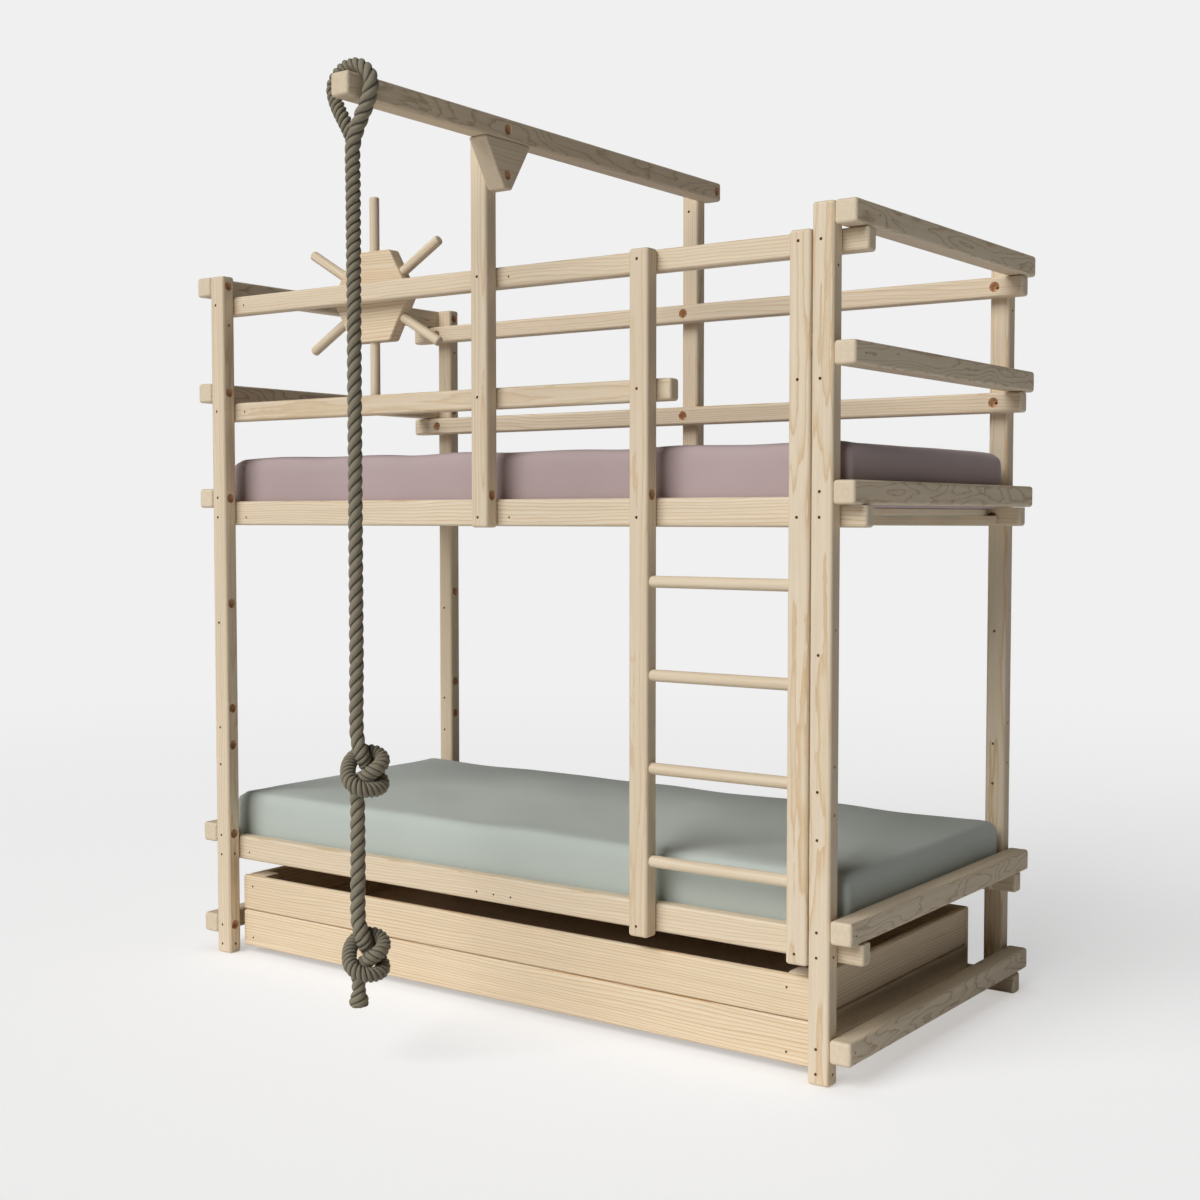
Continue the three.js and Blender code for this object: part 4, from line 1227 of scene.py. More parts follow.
@dataclass
class PlayWheel(Assembly):
    """Hexagonal hub with six round spokes let into its edges, on an axle bolt with a collar.

    The bolt's rings are pairs of radius and height in millimetres.
    """

    middle: tuple = (573.0, 1953.0)
    hub: tuple = (88.3, 130.3)
    apothem: float = 128 * MM
    hub_corner: float = 12 * MM
    hub_edge: float = 5 * MM
    bolt_hole: float = 6.3 * MM
    spoke_line: float = 109.3
    spoke_foot: float = 95 * MM
    spoke_tip: float = 283 * MM
    spoke_radius: float = 14 * MM
    spoke_edge: float = 6 * MM
    spoke_middle: float = 190 * MM
    over: float = 10 * MM
    collar_face: float = 85.6
    bolt_foot: tuple = ((5, 0), (6, 1))
    collar: tuple = ((6, 0), (15.5, 0), (16, 0.5), (16, 1.9), (15.5, 2.4), (6, 2.4))
    bolt_head: tuple = ((6, -6), (14.4, -6), (15, -5.4), (15, -2.2), (13.8, -0.8), (11, 0))
    body: str = "steering_wheel"

    def pieces(self, shop: Workshop) -> Iterable[Object]:
        """Builds the wheel and its bolt."""
        return [self.plate(shop), *self.spokes(shop), self.bolt()]

    def plate(self, shop: Workshop) -> Object:
        """Builds the hexagonal hub with its flats above and below."""
        angle = np.radians(np.arange(6) * 60 + 30)
        reach = self.apothem / math.cos(math.pi / 6)
        corners = reach * np.column_stack([np.cos(angle), np.sin(angle)])
        thick = (self.hub[1] - self.hub[0]) * MM
        plate = prism(corners, thick, self.hub_corner, self.hub_edge)
        start = np.array(bed(self.middle[0], self.hub[0], self.middle[1]))
        surface = Axis.Y.laid(plate, start)
        obj = new_object("wheel_hub_wood", surface, PINE_BOARD.material())
        drill = lathe([(self.bolt_hole, -self.over), (self.bolt_hole, thick + self.over)], 24)
        cut(obj, aimed(drill, start, Axis.Y.unit()), PINE_BORE.material())
        middle = start + [0, thick / 2, 0]
        return shop.finish(obj, Axis.X.unit(), middle, "wheel_hub", body=self.body)

    def spokes(self, shop: Workshop) -> list:
        """Builds the six spokes, the first straight up."""
        middle = np.array(bed(self.middle[0], self.spoke_line, self.middle[1]))
        long = self.spoke_tip - self.spoke_foot
        for number in range(6):
            angle = math.radians(60 * number)
            along = np.array([math.sin(angle), 0.0, math.cos(angle)])
            foot = middle + along * self.spoke_foot
            bar = round_bar(foot, along, long, self.spoke_radius, self.spoke_edge)
            node = f"wheel_spoke_{number + 1}"
            obj = new_object(node + "_wood", bar, PINE.material())
            centre = middle + along * self.spoke_middle
            yield shop.finish(obj, along, centre, node, body=self.body)

    def bolt(self) -> Object:
        """Builds the axle bolt, whose rings are given from its foot, its collar and its top."""
        low, high = box_of("wheel_axle_bolt")
        x, z = bed(self.middle[0], 0, self.middle[1])[::2]
        length = high[1] - low[1]
        face = bed(0, self.collar_face, 0)[1] - low[1]
        profile = [
            (radius * MM, base + height * MM)
            for base, rings in ((0, self.bolt_foot), (face, self.collar), (length, self.bolt_head))
            for radius, height in rings
        ]
        bolt = aimed(lathe(profile, 48), np.array([x, low[1], z]), Axis.Y.unit())
        obj = new_object("axle_bolt", bolt, STEEL.material())
        return attach(obj, "frame", "steel", "wheel_axle_bolt")


# Bed box


@dataclass
class BedBox(Assembly):
    """Roll-out box: slotted front and sides, back board, floor panel, corner blocks, rollers.

    A roller's rings are pairs of radius and height in millimetres. Those of the tread's edge are
    measured from its radius, and those of the stub from its tip.
    """

    corner: float = 7.5 * MM
    end: float = 7.5 * MM
    body: str = "bed_box"
    piths: dict = field(default_factory=lambda: {
        Axis.X: (0, 0.055, -0.170), Axis.Y: (-0.060, 0, -0.160),
    })
    front_face: float = 45.3
    pilots_x: tuple = (110.0, 1962.5)
    pilots_z: dict = field(default_factory=lambda: {"upper": 205.5, "lower": 49.0})
    pilot_radius: float = 3 * MM
    small: float = 1 * MM
    tread: float = 20 * MM
    hub: tuple = ((4, 0), (8, 0), (9, 4), (24, 4), (26, 0))
    tread_edge: tuple = ((-4, 0), (-1, 1.2), (0, 4))
    collar: tuple = (8 * MM, 5 * MM)
    stub: tuple = ((5, 1), (4, 0))

    def pieces(self, shop: Workshop) -> Iterable[Object]:
        """Builds the box and its rollers."""
        for level, z in self.pilots_z.items():
            pilots = [
                Pilot(bed(x, self.front_face, z), TOWARDS_WALL, self.pilot_radius)
                for x in self.pilots_x
            ]
            yield self.board(shop, f"box_front_{level}_board", Axis.X, pilots)
            for side in OUTWARD:
                yield self.board(shop, f"box_{side}_{level}_board", Axis.Y)
        yield self.board(shop, "box_back_board", Axis.X)
        for side in OUTWARD:
            yield shop.timber(f"box_corner_block_{side}", Axis.Z, self.body, end=self.small)
        yield shop.timber(
            "box_floor", Axis.X, self.body, corner=self.small, end=self.small,
            finish=PINE_INSIDE, slot="pine_inside",
        )
        yield from (self.roller(number) for number in range(1, 5))

    def board(self, shop: Workshop, node: str, axis: Axis, holes: list | tuple = ()) -> Object:
        """Builds one board of the box."""
        return shop.timber(
            node, axis, self.body, corner=self.corner, end=self.end, holes=holes,
            finish=PINE_BOARD, pith=self.piths[axis],
        )

    def roller(self, number: int) -> Object:
        """Builds one roller with its hub recess, its tread and its stub axle, by its number."""
        node = f"box_wheel_{number}"
        low, high = box_of(node)
        middle = (low + high) / 2
        out = -1 if middle[0] < 0 else 1
        radius, length = (high[2] - low[2]) / 2, high[0] - low[0]
        edge = [(radius + over * MM, height * MM) for over, height in self.tread_edge]
        profile = [(ring * MM, height * MM) for ring, height in self.hub] + edge
        profile += [(ring, self.tread - height) for ring, height in edge[::-1]]
        profile += [(ring, self.tread) for ring in self.collar]
        profile += [(ring * MM, length - from_end * MM) for ring, from_end in self.stub]
        start = np.array([high[0] if out < 0 else low[0], middle[1], middle[2]])
        wheel = aimed(lathe(profile, 48), start, np.array([out, 0.0, 0.0]))
        obj = new_object(f"box_roller_{number}", wheel, PLASTIC.material())
        return attach(obj, f"box_roller_{number}", "wheel_plastic", node)


# Beds


@dataclass
class SlatMat(Assembly):
    """Fourteen slats with rounded edges on two straps."""

    level: str
    rail_z: float
    count: int = 14
    first: float = 40.0
    across: float = 70.0
    thick: float = 18.0
    straps: tuple = (-300.0, 300.0)
    strap: tuple = (25 * MM, 1.4 * MM)
    strap_below: float = 0.75
    strap_margin: float = 0.5 * MM
    middle_y: float = 536.3
    above_rail: float = 46.7

    def pieces(self, shop: Workshop) -> Iterable[Object]:
        """Builds the mat."""
        node = f"{self.level}_slat_mat"
        low, high = box_of(node)
        span = (high[0] - low[0]) / MM
        pitch = (span - self.across) / (self.count - 1)
        z = self.rail_z + self.above_rail - self.thick
        section = rectangle(self.thick * MM, self.across * MM)
        slat = prism(section, high[1] - low[1], 3 * MM, 2 * MM, 3)
        bars, bands = [], []
        for k in range(self.count):
            middle_x = self.first + k * pitch + self.across / 2
            place = bed(middle_x, 0, z + self.thick / 2)
            bars.append(Axis.Y.laid(slat, [place[0], low[1], place[2]]))
        obj = new_object(f"{self.level}_slats", joined(bars), PINE.material())
        shop.finish(obj, Axis.Y.unit(), (low + high) / 2, node)
        long = high[0] - low[0] - 2 * self.strap_margin
        band = prism(rectangle(*self.strap), long, 0.5 * MM, 0.3 * MM, 2)
        for off in self.straps:
            place = bed(0, self.middle_y + off, z - self.strap_below)
            bands.append(Axis.X.laid(band, [low[0] + self.strap_margin, place[1], place[2]]))
        strap = new_object(f"{self.level}_straps", joined(bands), CLOTH_LOWER.material())
        return [obj, attach(strap, "frame", "cloth_lower")]


def padded_box(size: Array, radius: float, counts: tuple) -> Surface:
    """Closed box with rounded edges, as a grid on each of its six faces.

    Each point of a cube's grid is pulled back to the box drawn in by the radius, and set a
    radius off it along the line from there to the point.

    Args:
        size: Size of the box.
        radius: Radius of its edges.
        counts: Grid steps along each axis.

    Returns:
        The closed surface about the origin; its points are shared between its faces.
    """
    half = np.asarray(size) / 2
    points, quads, start = [], [], 0
    for axis in range(3):
        first, second = (axis + 1) % 3, (axis + 2) % 3
        for sign in (-1, 1):
            u, v = np.meshgrid(
                np.linspace(-1, 1, counts[first] + 1), np.linspace(-1, 1, counts[second] + 1),
                indexing="ij",
            )
            face = np.zeros((*u.shape, 3))
            face[..., axis] = sign
            face[..., first] = u
            face[..., second] = v
            points.append(face.reshape(-1, 3))
            cells = grid_faces(counts[first] + 1, counts[second] + 1, False) + start
            quads.append(cells if sign < 0 else cells[:, ::-1])
            start += len(points[-1])
    cube = np.vstack(points)
    cells = np.vstack(quads)
    _, first_of, shared = np.unique(np.round(cube, 6), axis=0, return_index=True,
                                    return_inverse=True)
    cube = cube[first_of] * half
    core = np.clip(cube, radius - half, half - radius)
    out = cube - core
    length = np.linalg.norm(out, axis=1)[:, None]
    cube = core + radius * out / np.where(length > 0, length, 1)
    return Surface(cube, shared.reshape(-1)[cells].tolist())


@dataclass
class Mattress:
    """Foam mattress in a fitted cover, blown up a little by a cloth simulation.

    The cover's starting shape is a rounded box whose long sides are drawn in between the
    corners and whose top waves along the bed. Its underside, which rests on the slats, stays
    flat.
    """

    node: str
    finish: ClothFinish
    waves: tuple
    fill: float = 0.75
    edge: float = 13 * MM
    shoulder: float = 28 * MM
    corner: float = 42 * MM
    square: float = 0.65
    slack: float = 4 * MM
    draw: float = 3 * MM
    most: float = 5 * MM
    voxel: float = 15 * MM
    pressure: float = 4.0
    steps: int = 20
    proud: tuple = (1.0 * MM, -0.3 * MM, 7.0 * MM)

    def build(self) -> Object:
        """Builds the mattress, blows up its cover and fits it to its place.

        Returns:
            The mattress.
        """
        low, high = box_of(self.node)
        size = high - low - 2 * self.slack
        counts = tuple(int(part / (0.8 * self.voxel)) for part in size)
        shape = padded_box(size, self.edge, counts)
        shape.points = self.start(shape.points, size) + (low + high) / 2
        obj = new_object(self.node + "_cover", shape, smooth=180)
        remesh = obj.modifiers.new("remesh", "REMESH")
        remesh.mode = "VOXEL"
        remesh.voxel_size = self.voxel
        freeze(obj)
        points = mesh_points(obj)
        points += self.given_way(obj, points)
        obj.data.vertices.foreach_set("co", self.fitted(points, low, high).ravel())
        obj.data.update()
        smooth = obj.modifiers.new("smooth", "SUBSURF")
        smooth.levels = smooth.render_levels = 1
        freeze(obj)
        shade(obj, 180)
        obj.data.materials.clear()
        obj.data.materials.append(self.finish.material())
        attach(obj, "frame", self.finish.name, self.node)
        return obj

    def start(self, points: Array, size: Array) -> Array:
        """Draws the sides in and lets the top wave.

        The sides move in by the draw times 1 - u^6, with u from -1 to 1 along the bed. The top
        rises by a sum of cosines along the bed, less near its ends, in full at the top and not
        at all at the underside, and each is a little turned towards the wall. Near its rim the
        top falls by a flattened quarter circle.

        Args:
            points: Points about the mattress's middle.
            size: Size of the mattress.

        Returns:
            The moved points.
        """
        moved = points.copy()
        along = np.clip(2 * points[:, 0] / size[0], -1, 1)
        across = np.clip(2 * points[:, 1] / size[1], -1, 1)
        moved[:, 1] -= self.draw * (1 - along**6) * np.sign(across) * np.abs(across) ** 4
        share = np.clip(points[:, 2] / size[2] + 0.5, 0, 1) ** 3
        calm = 1 - 0.8 * np.clip((np.abs(along) - 0.6) / 0.4, 0, 1)
        for length, rise, crest, turn in self.waves:
            way = points[:, 0] - crest + turn * (points[:, 1] + size[1] / 2)
            moved[:, 2] += share * calm * rise * np.cos(2 * math.pi * way / length)
        for k in range(2):
            inside = size[k] / 2 - np.abs(points[:, k])
            near = np.clip(1 - inside / self.shoulder, 0, 1)
            moved[:, 2] -= share * 0.6 * self.shoulder * (1 - np.sqrt(1 - near**2))
        return moved

    def given_way(self, obj: Object, rest: Array) -> Array:
        """How far each point of the cover gives way to the filling.

        Cloth under pressure is run for some steps without gravity, with the underside held,
        and no point may move further than the most that is allowed.

        Args:
            obj: The cover, in its starting shape.
            rest: Its points.

        Returns:
            The movement of each point.
        """
        held = obj.vertex_groups.new(name="held")
        floor = rest[:, 2].min() + 0.6 * self.voxel
        held.add(np.flatnonzero(rest[:, 2] < floor).tolist(), 1.0, "REPLACE")
        cloth = obj.modifiers.new("cloth", "CLOTH")
        cloth.settings.quality = 4
        cloth.settings.use_pressure = True
        cloth.settings.uniform_pressure_force = self.pressure
        cloth.settings.vertex_group_mass = "held"
        cloth.settings.effector_weights.gravity = 0
        cloth.collision_settings.use_collision = False
        cloth.point_cache.frame_start = 1
        cloth.point_cache.frame_end = self.steps
        for step in range(1, self.steps + 1):
            bpy.context.scene.frame_set(step)
        graph = bpy.context.evaluated_depsgraph_get()
        after = mesh_points(obj.evaluated_get(graph))
        obj.modifiers.clear()
        obj.vertex_groups.clear()
        bpy.context.scene.frame_set(1)
        moved = after - rest
        far = np.linalg.norm(moved, axis=1)
        log.info("%s: cloth moved %.1f mm at most", self.node, far.max() / MM)
        eased = self.most * np.tanh(far / self.most)
        return moved * (eased / np.maximum(far, 1e-9))[:, None]

    def fitted(self, points: Array, low: Array, high: Array) -> Array:
        """Stretches the cover to the box of its CAD node and squares its corners.

        In plan, each corner's points move away from the middle of its square by the ratio of
        the square's reach to the circle's in their direction, by the mattress's own share.

        Args:
            points: The cover's points.
            low: Lowest corner of the CAD node's box.
            high: Its highest corner.

        Returns:
            The moved points, a little proud or shy of the box.
        """
        proud = np.array(self.proud)
        bottom, top = low - [proud[0], proud[1], 0], high + proud
        found = points.min(axis=0), points.max(axis=0)
        moved = bottom + (points - found[0]) / (found[1] - found[0]) * (top - bottom)
        middle, half = (bottom + top)[:2] / 2, (top - bottom)[:2] / 2
        out = moved[:, :2] - middle
        reach = np.abs(out) - (half - self.corner)
        both = reach.min(axis=1) > 0
        aside = reach[both]
        stretch = np.linalg.norm(aside, axis=1) / aside.max(axis=1)
        aside = aside * (1 + self.square * (stretch - 1))[:, None]
        moved[both, :2] = middle + np.sign(out[both]) * (half - self.corner + aside)
        return moved


# Rope


def read_off(table: tuple, at: Array) -> Array:
    """Values at some places, on straight lines between a table's pairs of place and value."""
    return np.interp(at, *np.array(table, float).T)


def smooth_route(points: Array, step: float) -> Array:
    """Centripetal Catmull-Rom curve through points, cut into even steps.

    Args:
        points: The points it passes through.
        step: Length of a step.

    Returns:
        Points along the curve, about a step apart.
    """
    points = np.asarray(points, float)
    ends = np.vstack([2 * points[0] - points[1], points, 2 * points[-1] - points[-2]])
    gap = np.linalg.norm(np.diff(ends, axis=0), axis=1)[:, None] ** 0.5
    d0, d1, d2 = gap[:-2], gap[1:-1], gap[2:]
    p0, p1, p2, p3 = ends[:-3], ends[1:-2], ends[2:-1], ends[3:]
    m1 = ((p1 - p0) / d0 - (p2 - p0) / (d0 + d1) + (p2 - p1) / d1) * d1
    m2 = ((p2 - p1) / d1 - (p3 - p1) / (d1 + d2) + (p3 - p2) / d2) * d1
    u = np.linspace(0, 1, 60, endpoint=False)[None, :, None]
    p1, p2, m1, m2 = (part[:, None] for part in (p1, p2, m1, m2))
    curve = (2 * u**3 - 3 * u**2 + 1) * p1 + (u**3 - 2 * u**2 + u) * m1
    curve = curve + (3 * u**2 - 2 * u**3) * p2 + (u**3 - u**2) * m2
    curve = np.vstack([curve.reshape(-1, 3), points[-1]])
    run = np.concatenate([[0], np.cumsum(np.linalg.norm(np.diff(curve, axis=0), axis=1))])
    even = np.linspace(0, run[-1], int(run[-1] / step) + 1)
    return np.column_stack([np.interp(even, run, curve[:, k]) for k in range(3)])


def steady_frames(path: Array) -> tuple[Array, Array, Array]:
    """Frames along a path that turn about it as little as they can.

    Each frame is the last one reflected twice, first across the plane halfway to the next
    point and then so that its tangent becomes the next one.

    Args:
        path: Points of the path.

    Returns:
        Tangents, normals and binormals; normal x binormal is the tangent.
    """
    tangent = np.gradient(path, axis=0)
    tangent /= np.linalg.norm(tangent, axis=1)[:, None]
    normal = np.zeros_like(path)
    normal[0] = np.cross(tangent[0], [0.0, 1.0, 0.0])
    normal[0] /= np.linalg.norm(normal[0])
    for i in range(len(path) - 1):
        step = path[i + 1] - path[i]
        size = step @ step
        turned = normal[i] - (2 / size) * (step @ normal[i]) * step
        pointed = tangent[i] - (2 / size) * (step @ tangent[i]) * step
        back = tangent[i + 1] - pointed
        spread = back @ back
        normal[i + 1] = turned - (2 / spread) * (back @ turned) * back if spread else turned
    return tangent, normal, np.cross(tangent, normal)


@dataclass
class ClimbingRope:
    """Three-strand rope: an eye round the beam, the hanging part, two overhand knots."""

    radius: float = 17 * MM
    x: float = 1105.8
    y: float = -523.0
    beam_z: float = 2335.5
    eye_foot: float = 2196.0
    eye_leg: tuple = ((0, 0), (4, 18), (13, 41), (29, 68), (47, 98))
    eye_round: tuple = ((-14, 60.0), (8, 61.5), (30, 58.0), (45, 54.5), (60, 52.6), (74, 51.2))
    eye_top: float = 49.5
    knots: tuple = (719.0, 274.0)
    turn: float = math.radians(36)
    end_z: float = 148.0
    span: float = 190.0
    strand_middle: float = 7.5 * MM
    strand_radial: float = 9.7 * MM
    strand_across: float = 11.0 * MM
    knot_groove: float = 0.74
    knot_swell: float = 0.07
    knot_reach: float = 74.0
    knot_fade: float = 36.0
    knot_lay: float = 33.0
    lays: tuple = ((148, 50), (190, 50), (196, 88), (1700, 88), (1900, 67))
    eye_lays: tuple = ((0.24, 44), (0.32, 84))
    widths: tuple = (
        (0, 1.0), (0.05, 1.04), (0.16, 1.04), (0.30, 1.02), (0.36, 1.10), (0.60, 1.07),
        (0.90, 1.03),
    )
    low_widths: tuple = ((0.50, 1.0), (0.56, 1.11), (0.80, 1.09), (1.0, 1.03))
    behind: tuple = (9.0, 7.0, 3.0)
    flare: tuple = (0.38, 0.036, 0.021)
    end_groove: tuple = (0.7, 0.030, 0.020)
    end_cap: tuple = (0.28, 0.006)
    foot: tuple = (0.008, 0.04)
    ragged_reach: float = 10 * MM
    ragged_waves: tuple = ((7, 0, 1.3 * MM), (13, 1.3, 0.9 * MM))
    samples: int = 14
    step: float = 2.0 * MM
    route: tuple = (
        (0, 86, 1), (5, 63, 6), (12, 42, 9), (18, 24, 3), (26, 8, -11), (41, -8, -19),
        (55, -24, -11), (58, -35, 9), (43, -40, 32), (15, -36, 46), (-11, -20, 41),
        (-20, 4, 16), (-15, 25, -14), (7, 40, -29), (36, 41, -26), (56, 32, -10),
        (60, 20, 10), (48, 8, 24), (30, -5, 25), (14, -18, 14), (3, -35, 5), (-1, -58, 1),
        (0, -84, -1),
    )

    def build(self) -> Object:
        """Returns:
            The rope.
        """
        path = smooth_route(self.points(), self.step)
        run = np.concatenate([[0], np.cumsum(np.linalg.norm(np.diff(path, axis=0), axis=1))])
        surface, lay = self.sweep(path, run)
        obj = new_object("rope_laid", surface, ROPE.material(), 70)
        layer = obj.data.uv_layers.new(name="lay")
        layer.data.foreach_set("uv", lay.astype(np.float32).ravel())
        attach(obj, "rope", "rope_fibre", "climbing_rope")
        log.info("rope: %.3f m long, %d rings", run[-1], len(path))
        return obj

    def points(self) -> Array:
        """The places that the rope's middle passes through, from one leg of the eye on."""
        legs = [(-out, self.eye_foot + up) for out, up in self.eye_leg]
        left = [
            (-reach * math.cos(math.radians(a)), self.beam_z + reach * math.sin(math.radians(a)))
            for a, reach in self.eye_round
        ]
        half = legs + left
        top = [(0.0, self.beam_z + self.eye_top)]
        loop = half + top + [(-across, up) for across, up in half[::-1]]
        route = [(self.x + across, self.y, up) for across, up in loop]
        for k, back in enumerate(self.behind):
            across, y, up = route[k]
            route[k] = (across - 0.5 * back, y + back, up)
        z = self.eye_foot - 0.5 * self.span
        cos, sin, radius = math.cos(self.turn), math.sin(self.turn), self.radius / MM
        for middle in self.knots:
            to = middle + self.route[0][1]
            spans = math.ceil((z - to) / self.span)
            route += [(self.x, self.y, z + (to - z) * k / spans) for k in range(spans)]
            route += [
                (self.x + a * cos + f * sin, self.y + a * sin - f * cos, middle + up)
                for a, up, f in self.route
            ]
            z = middle + self.route[-1][1] - radius
            route.append((self.x, self.y, z))
            z -= radius
        route += [(self.x, self.y, z), (self.x, self.y, self.end_z)]
        return np.array([bed(*place) for place in route])

    def lay_length(self, path: Array, run: Array) -> Array:
        """Length of one turn of the strands: short in the eye, in the knots and at the end."""
        height = path[:, 2] / MM
        in_eye = height > self.eye_foot - 20
        length = np.where(in_eye, read_off(self.eye_lays, run), read_off(self.lays, height))
        return (length + self.in_knots(path) * (self.knot_lay - length)) * MM

    def in_knots(self, path: Array) -> Array:
        """Share from 0 to 1 by which each point of the path belongs to a knot."""
        height = path[:, 2:] / MM - np.array(self.knots)
        return np.clip((self.knot_reach - np.abs(height)) / self.knot_fade, 0, 1).max(axis=1)

    def envelope(self) -> Array:
        """The rope's radius round its section: the outline of three elliptical strands.

        A ray at an angle a from a strand's middle line meets the ellipse
        ((r cos a - m) / p)^2 + (r sin a / q)^2 = 1 at its larger root r.

        Returns:
            The radius at even angles round the section.
        """
        angle = np.linspace(-math.pi / 3, math.pi / 3, self.samples, endpoint=False)
        cos, sin = np.cos(angle), np.sin(angle)
        p, q, m = self.strand_radial, self.strand_across, self.strand_middle
        a = (cos / p) ** 2 + (sin / q) ** 2
        b = -2 * m * cos / p**2
        c = (m / p) ** 2 - 1
        return np.tile((-b + np.sqrt(b**2 - 4 * a * c)) / (2 * a), 3)

    def sweep(self, path: Array, run: Array) -> tuple[Surface, Array]:
        """Carries the section along the path, turned by the strands' lay.

        Args:
            path: Points of the path.
            run: Length along the path at each point.

        Returns:
            The closed surface, and a place along and across the strands for each face corner.
        """
        tangent, normal, binormal = steady_frames(path)
        radius = self.envelope()
        columns = len(radius)
        around = np.linspace(0, 2 * math.pi, columns, endpoint=False) - math.pi / 3
        pitch = self.lay_length(path, run)
        turn = np.concatenate([[0], np.cumsum(2 * math.pi * np.diff(run) / pitch[1:])])
        angle = around[None] + turn[:, None]
        crest = radius.max()
        knotted = self.in_knots(path)
        most, start, over = self.end_groove
        end = np.clip((start - (run[-1] - run)) / over, 0, 1)
        groove = (1 - (1 - self.knot_groove) * knotted) * (1 - most * end)
        reach = crest + (radius[None] - crest) * groove[:, None]
        swell = self.swell(run) * (1 + self.knot_swell * knotted)
        reach = (reach * swell[:, None])[..., None]
        out = np.cos(angle)[..., None] * normal[:, None]
        out += np.sin(angle)[..., None] * binormal[:, None]
        rings = path[:, None] + reach * out + self.ragged(run, angle)[..., None] * tangent[:, None]
        surface = ring_surface(rings)
        i, j = np.meshgrid(np.arange(len(path) - 1), np.arange(columns), indexing="ij")
        i, j = i.ravel(), j.ravel()
        corners = [(i, j), (i, j + 1), (i + 1, j + 1), (i + 1, j)]
        lay = np.stack([np.stack([run[a], 3 * b / columns], -1) for a, b in corners], 1)
        caps = np.zeros((2 * columns, 2))
        return surface, np.vstack([lay.reshape(-1, 2), caps])

    def swell(self, run: Array) -> Array:
        """How much wider the rope is than its strands' outline.

        It follows the tables of widths, the second one in the rope's last metre, and is flared
        and rounded at its lower end and rounded at its upper one.

        Args:
            run: Length along the path at each point.

        Returns:
            Factor for the section's radius.
        """
        left = run[-1] - run
        most, start, over = self.flare
        rise = np.clip((start - left) / over, 0, 1)
        flare = 1 + most * rise**2 * (3 - 2 * rise)
        share, reach = self.end_cap
        cap = 1 - share + share * np.sqrt(1 - np.clip(1 - left / reach, 0, 1) ** 2)
        width = np.where(left < 1, read_off(self.low_widths, left), read_off(self.widths, run))
        reach, least = self.foot
        foot = np.sqrt(np.clip(1 - np.clip(1 - run / reach, 0, 1) ** 2, least, 1))
        return flare * cap * foot * width

    def ragged(self, run: Array, angle: Array) -> Array:
        """How far each point stands out along the rope: two waves that fade above its end."""
        share = np.clip(1 - (run[-1] - run) / self.ragged_reach, 0, 1)[:, None]
        return share * sum(
            high * np.sin(count * angle + phase) for count, phase, high in self.ragged_waves
        )


# Studio


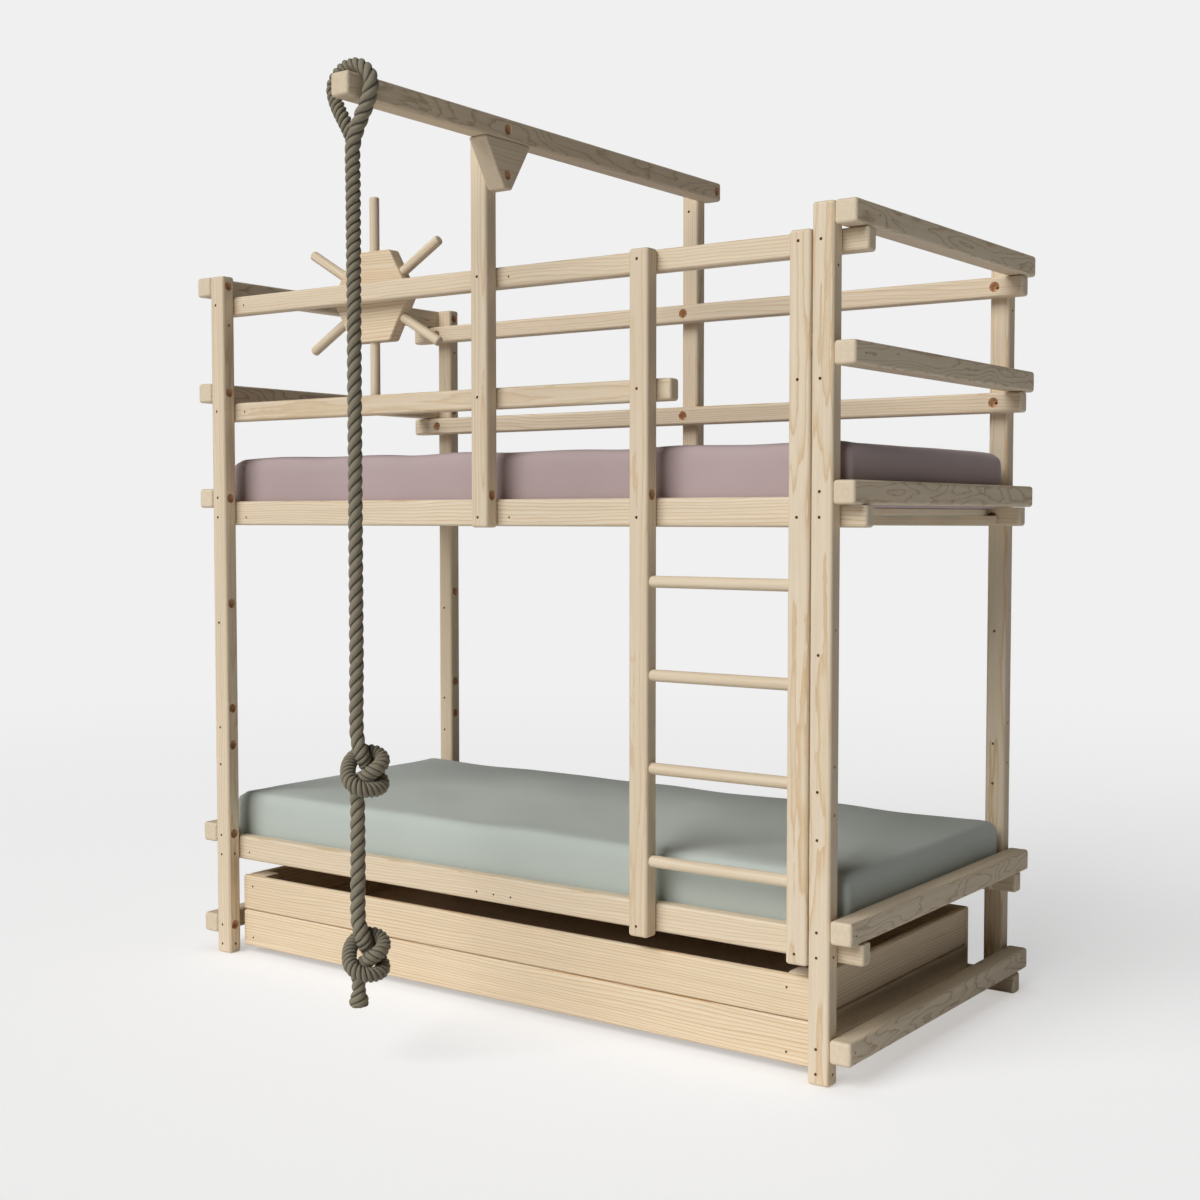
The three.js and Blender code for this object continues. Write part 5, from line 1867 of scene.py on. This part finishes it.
@dataclass
class Studio:
    """Plain pale floor and even backdrop, a broad soft key light and a weak even light."""

    background: float = 0.8715
    size: float = 120.0
    floor_seen: float = 1.0
    floor_glow: float = 1.07
    glow_share: float = 0.52
    painted_contact_shade: tuple = (0.72, 0.64, 0.57)
    painted_shade_reach: float = 0.09
    near: float = 3.0
    far: float = 9.0
    floor_bounce: float = 0.97
    key: float = 2.76
    key_angle: float = 46.0
    key_azimuth: float = 12.0
    key_height: float = 38.0
    ambient: float = 0.030

    def build(self) -> None:
        """Builds the floor, the world and the lamp."""
        self.ground()
        self.world()
        self.lamp()

    def ground(self) -> None:
        """Builds the floor.

        To the camera it glows a little, so that shadows on it stay pale. Close to the wood the
        glow is darker and browner, a painted contact shade, and far from the bed the floor fades
        into the backdrop's own level.
        """
        corners = np.column_stack([rectangle(self.size, self.size), np.zeros(4)])
        floor = new_object("floor", Surface(corners, [[0, 1, 2, 3]]))
        material = bpy.data.materials.new("studio_floor")
        material.use_nodes = True
        shader = Shader(material.node_tree)
        material.node_tree.nodes.remove(material.node_tree.nodes["Principled BSDF"])
        seen, bounce = (
            shader.add("BsdfDiffuse", {"Color": (level,) * 3}).outputs[0]
            for level in (self.floor_seen, self.floor_bounce)
        )
        # Painted contact shade: the occlusion darkens and browns the floor's glow close to the
        # wood.
        open_sky = shader.add("AmbientOcclusion", {"Distance": self.painted_shade_reach})
        painted_shade_tint = shader.mix(open_sky.outputs["AO"], self.painted_contact_shade, (1.0, 1.0, 1.0))
        glow = shader.add("Emission", {"Strength": self.floor_glow, "Color": painted_shade_tint}).outputs[0]
        backdrop = shader.add("Emission", {"Strength": self.background}).outputs[0]
        away = shader.length(shader.add("TexCoord").outputs["Object"])
        fade = shader.add(
            "MapRange", {"Value": away, "From Min": self.near, "From Max": self.far},
            interpolation_type="SMOOTHSTEP",
        )
        near = shader.blend(self.glow_share, seen, glow)
        both = shader.blend(fade.outputs["Result"], near, backdrop)
        shader.fill(
            material.node_tree.nodes["Material Output"], {0: shader.to_camera(both, bounce)},
        )
        floor.data.materials.append(material)
        floor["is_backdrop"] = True

    def world(self) -> None:
        """Sets the world: a plain background for the camera and a weak light for the rest."""
        world = bpy.data.worlds.new("studio")
        bpy.context.scene.world = world
        world.use_nodes = True
        shader, nodes = Shader(world.node_tree), world.node_tree.nodes
        shader.fill(nodes["Background"], {"Color": (1, 1, 1), "Strength": self.ambient})
        seen = shader.add("Background", {"Color": (self.background,) * 3})
        light = shader.to_camera(seen.outputs[0], nodes["Background"].outputs[0])
        shader.fill(nodes["World Output"], {0: light})

    def lamp(self) -> None:
        """Builds the key light: a wide far one, from the front left and above."""
        data = bpy.data.lights.new("key_light", "SUN")
        data.energy = self.key
        data.angle = math.radians(self.key_angle)
        obj = bpy.data.objects.new("key_light", data)
        bpy.context.scene.collection.objects.link(obj)
        obj.rotation_euler = (
            math.radians(90 - self.key_height), 0, -math.radians(self.key_azimuth),
        )


# All of it


def note_size(sizes: dict, moment: str) -> None:
    """Keeps the whole object's box under the name of a moment."""
    low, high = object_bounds()
    sizes[moment] = [list(low), list(high)]


def main() -> None:
    """Builds the scene piece by piece."""
    logging.basicConfig(level=logging.INFO)
    sizes = {}
    note_size(sizes, "cad")
    bpy.context.scene.view_settings.view_transform = "Standard"
    build_ring_group()
    build_weave_group()
    Viewpoint().build()
    ClimbingRope().build()
    shop = Workshop()
    for group in (CornerPosts(), EndRails(), LongRails(), SwingFrame(), Ladder(), PlayWheel(),
                  BedBox(), SlatMat("upper", 1302.5), SlatMat("lower", 284.5)):
        made = group.build(shop)
        log.info("%s: %d pieces", type(group).__name__, len(made))
    for mattress in (
        Mattress("upper_mattress", CLOTH_UPPER, (
            (0.365, 0.0022, -0.512, 0.5), (0.72, 0.0008, -0.15, -0.3), (0.23, 0.0004, 0.1, 0.9),
        )),
        Mattress("lower_mattress", CLOTH_LOWER, (
            (0.52, 0.0022, -0.35, 0.8), (0.83, 0.0018, 0.10, -0.5), (0.31, 0.0009, 0.4, 1.2),
        ), shoulder=32 * MM),
    ):
        log.info("%s", mattress.build().name)
    Studio().build()
    note_size(sizes, "scene")


if __name__ == "__main__":
    main()
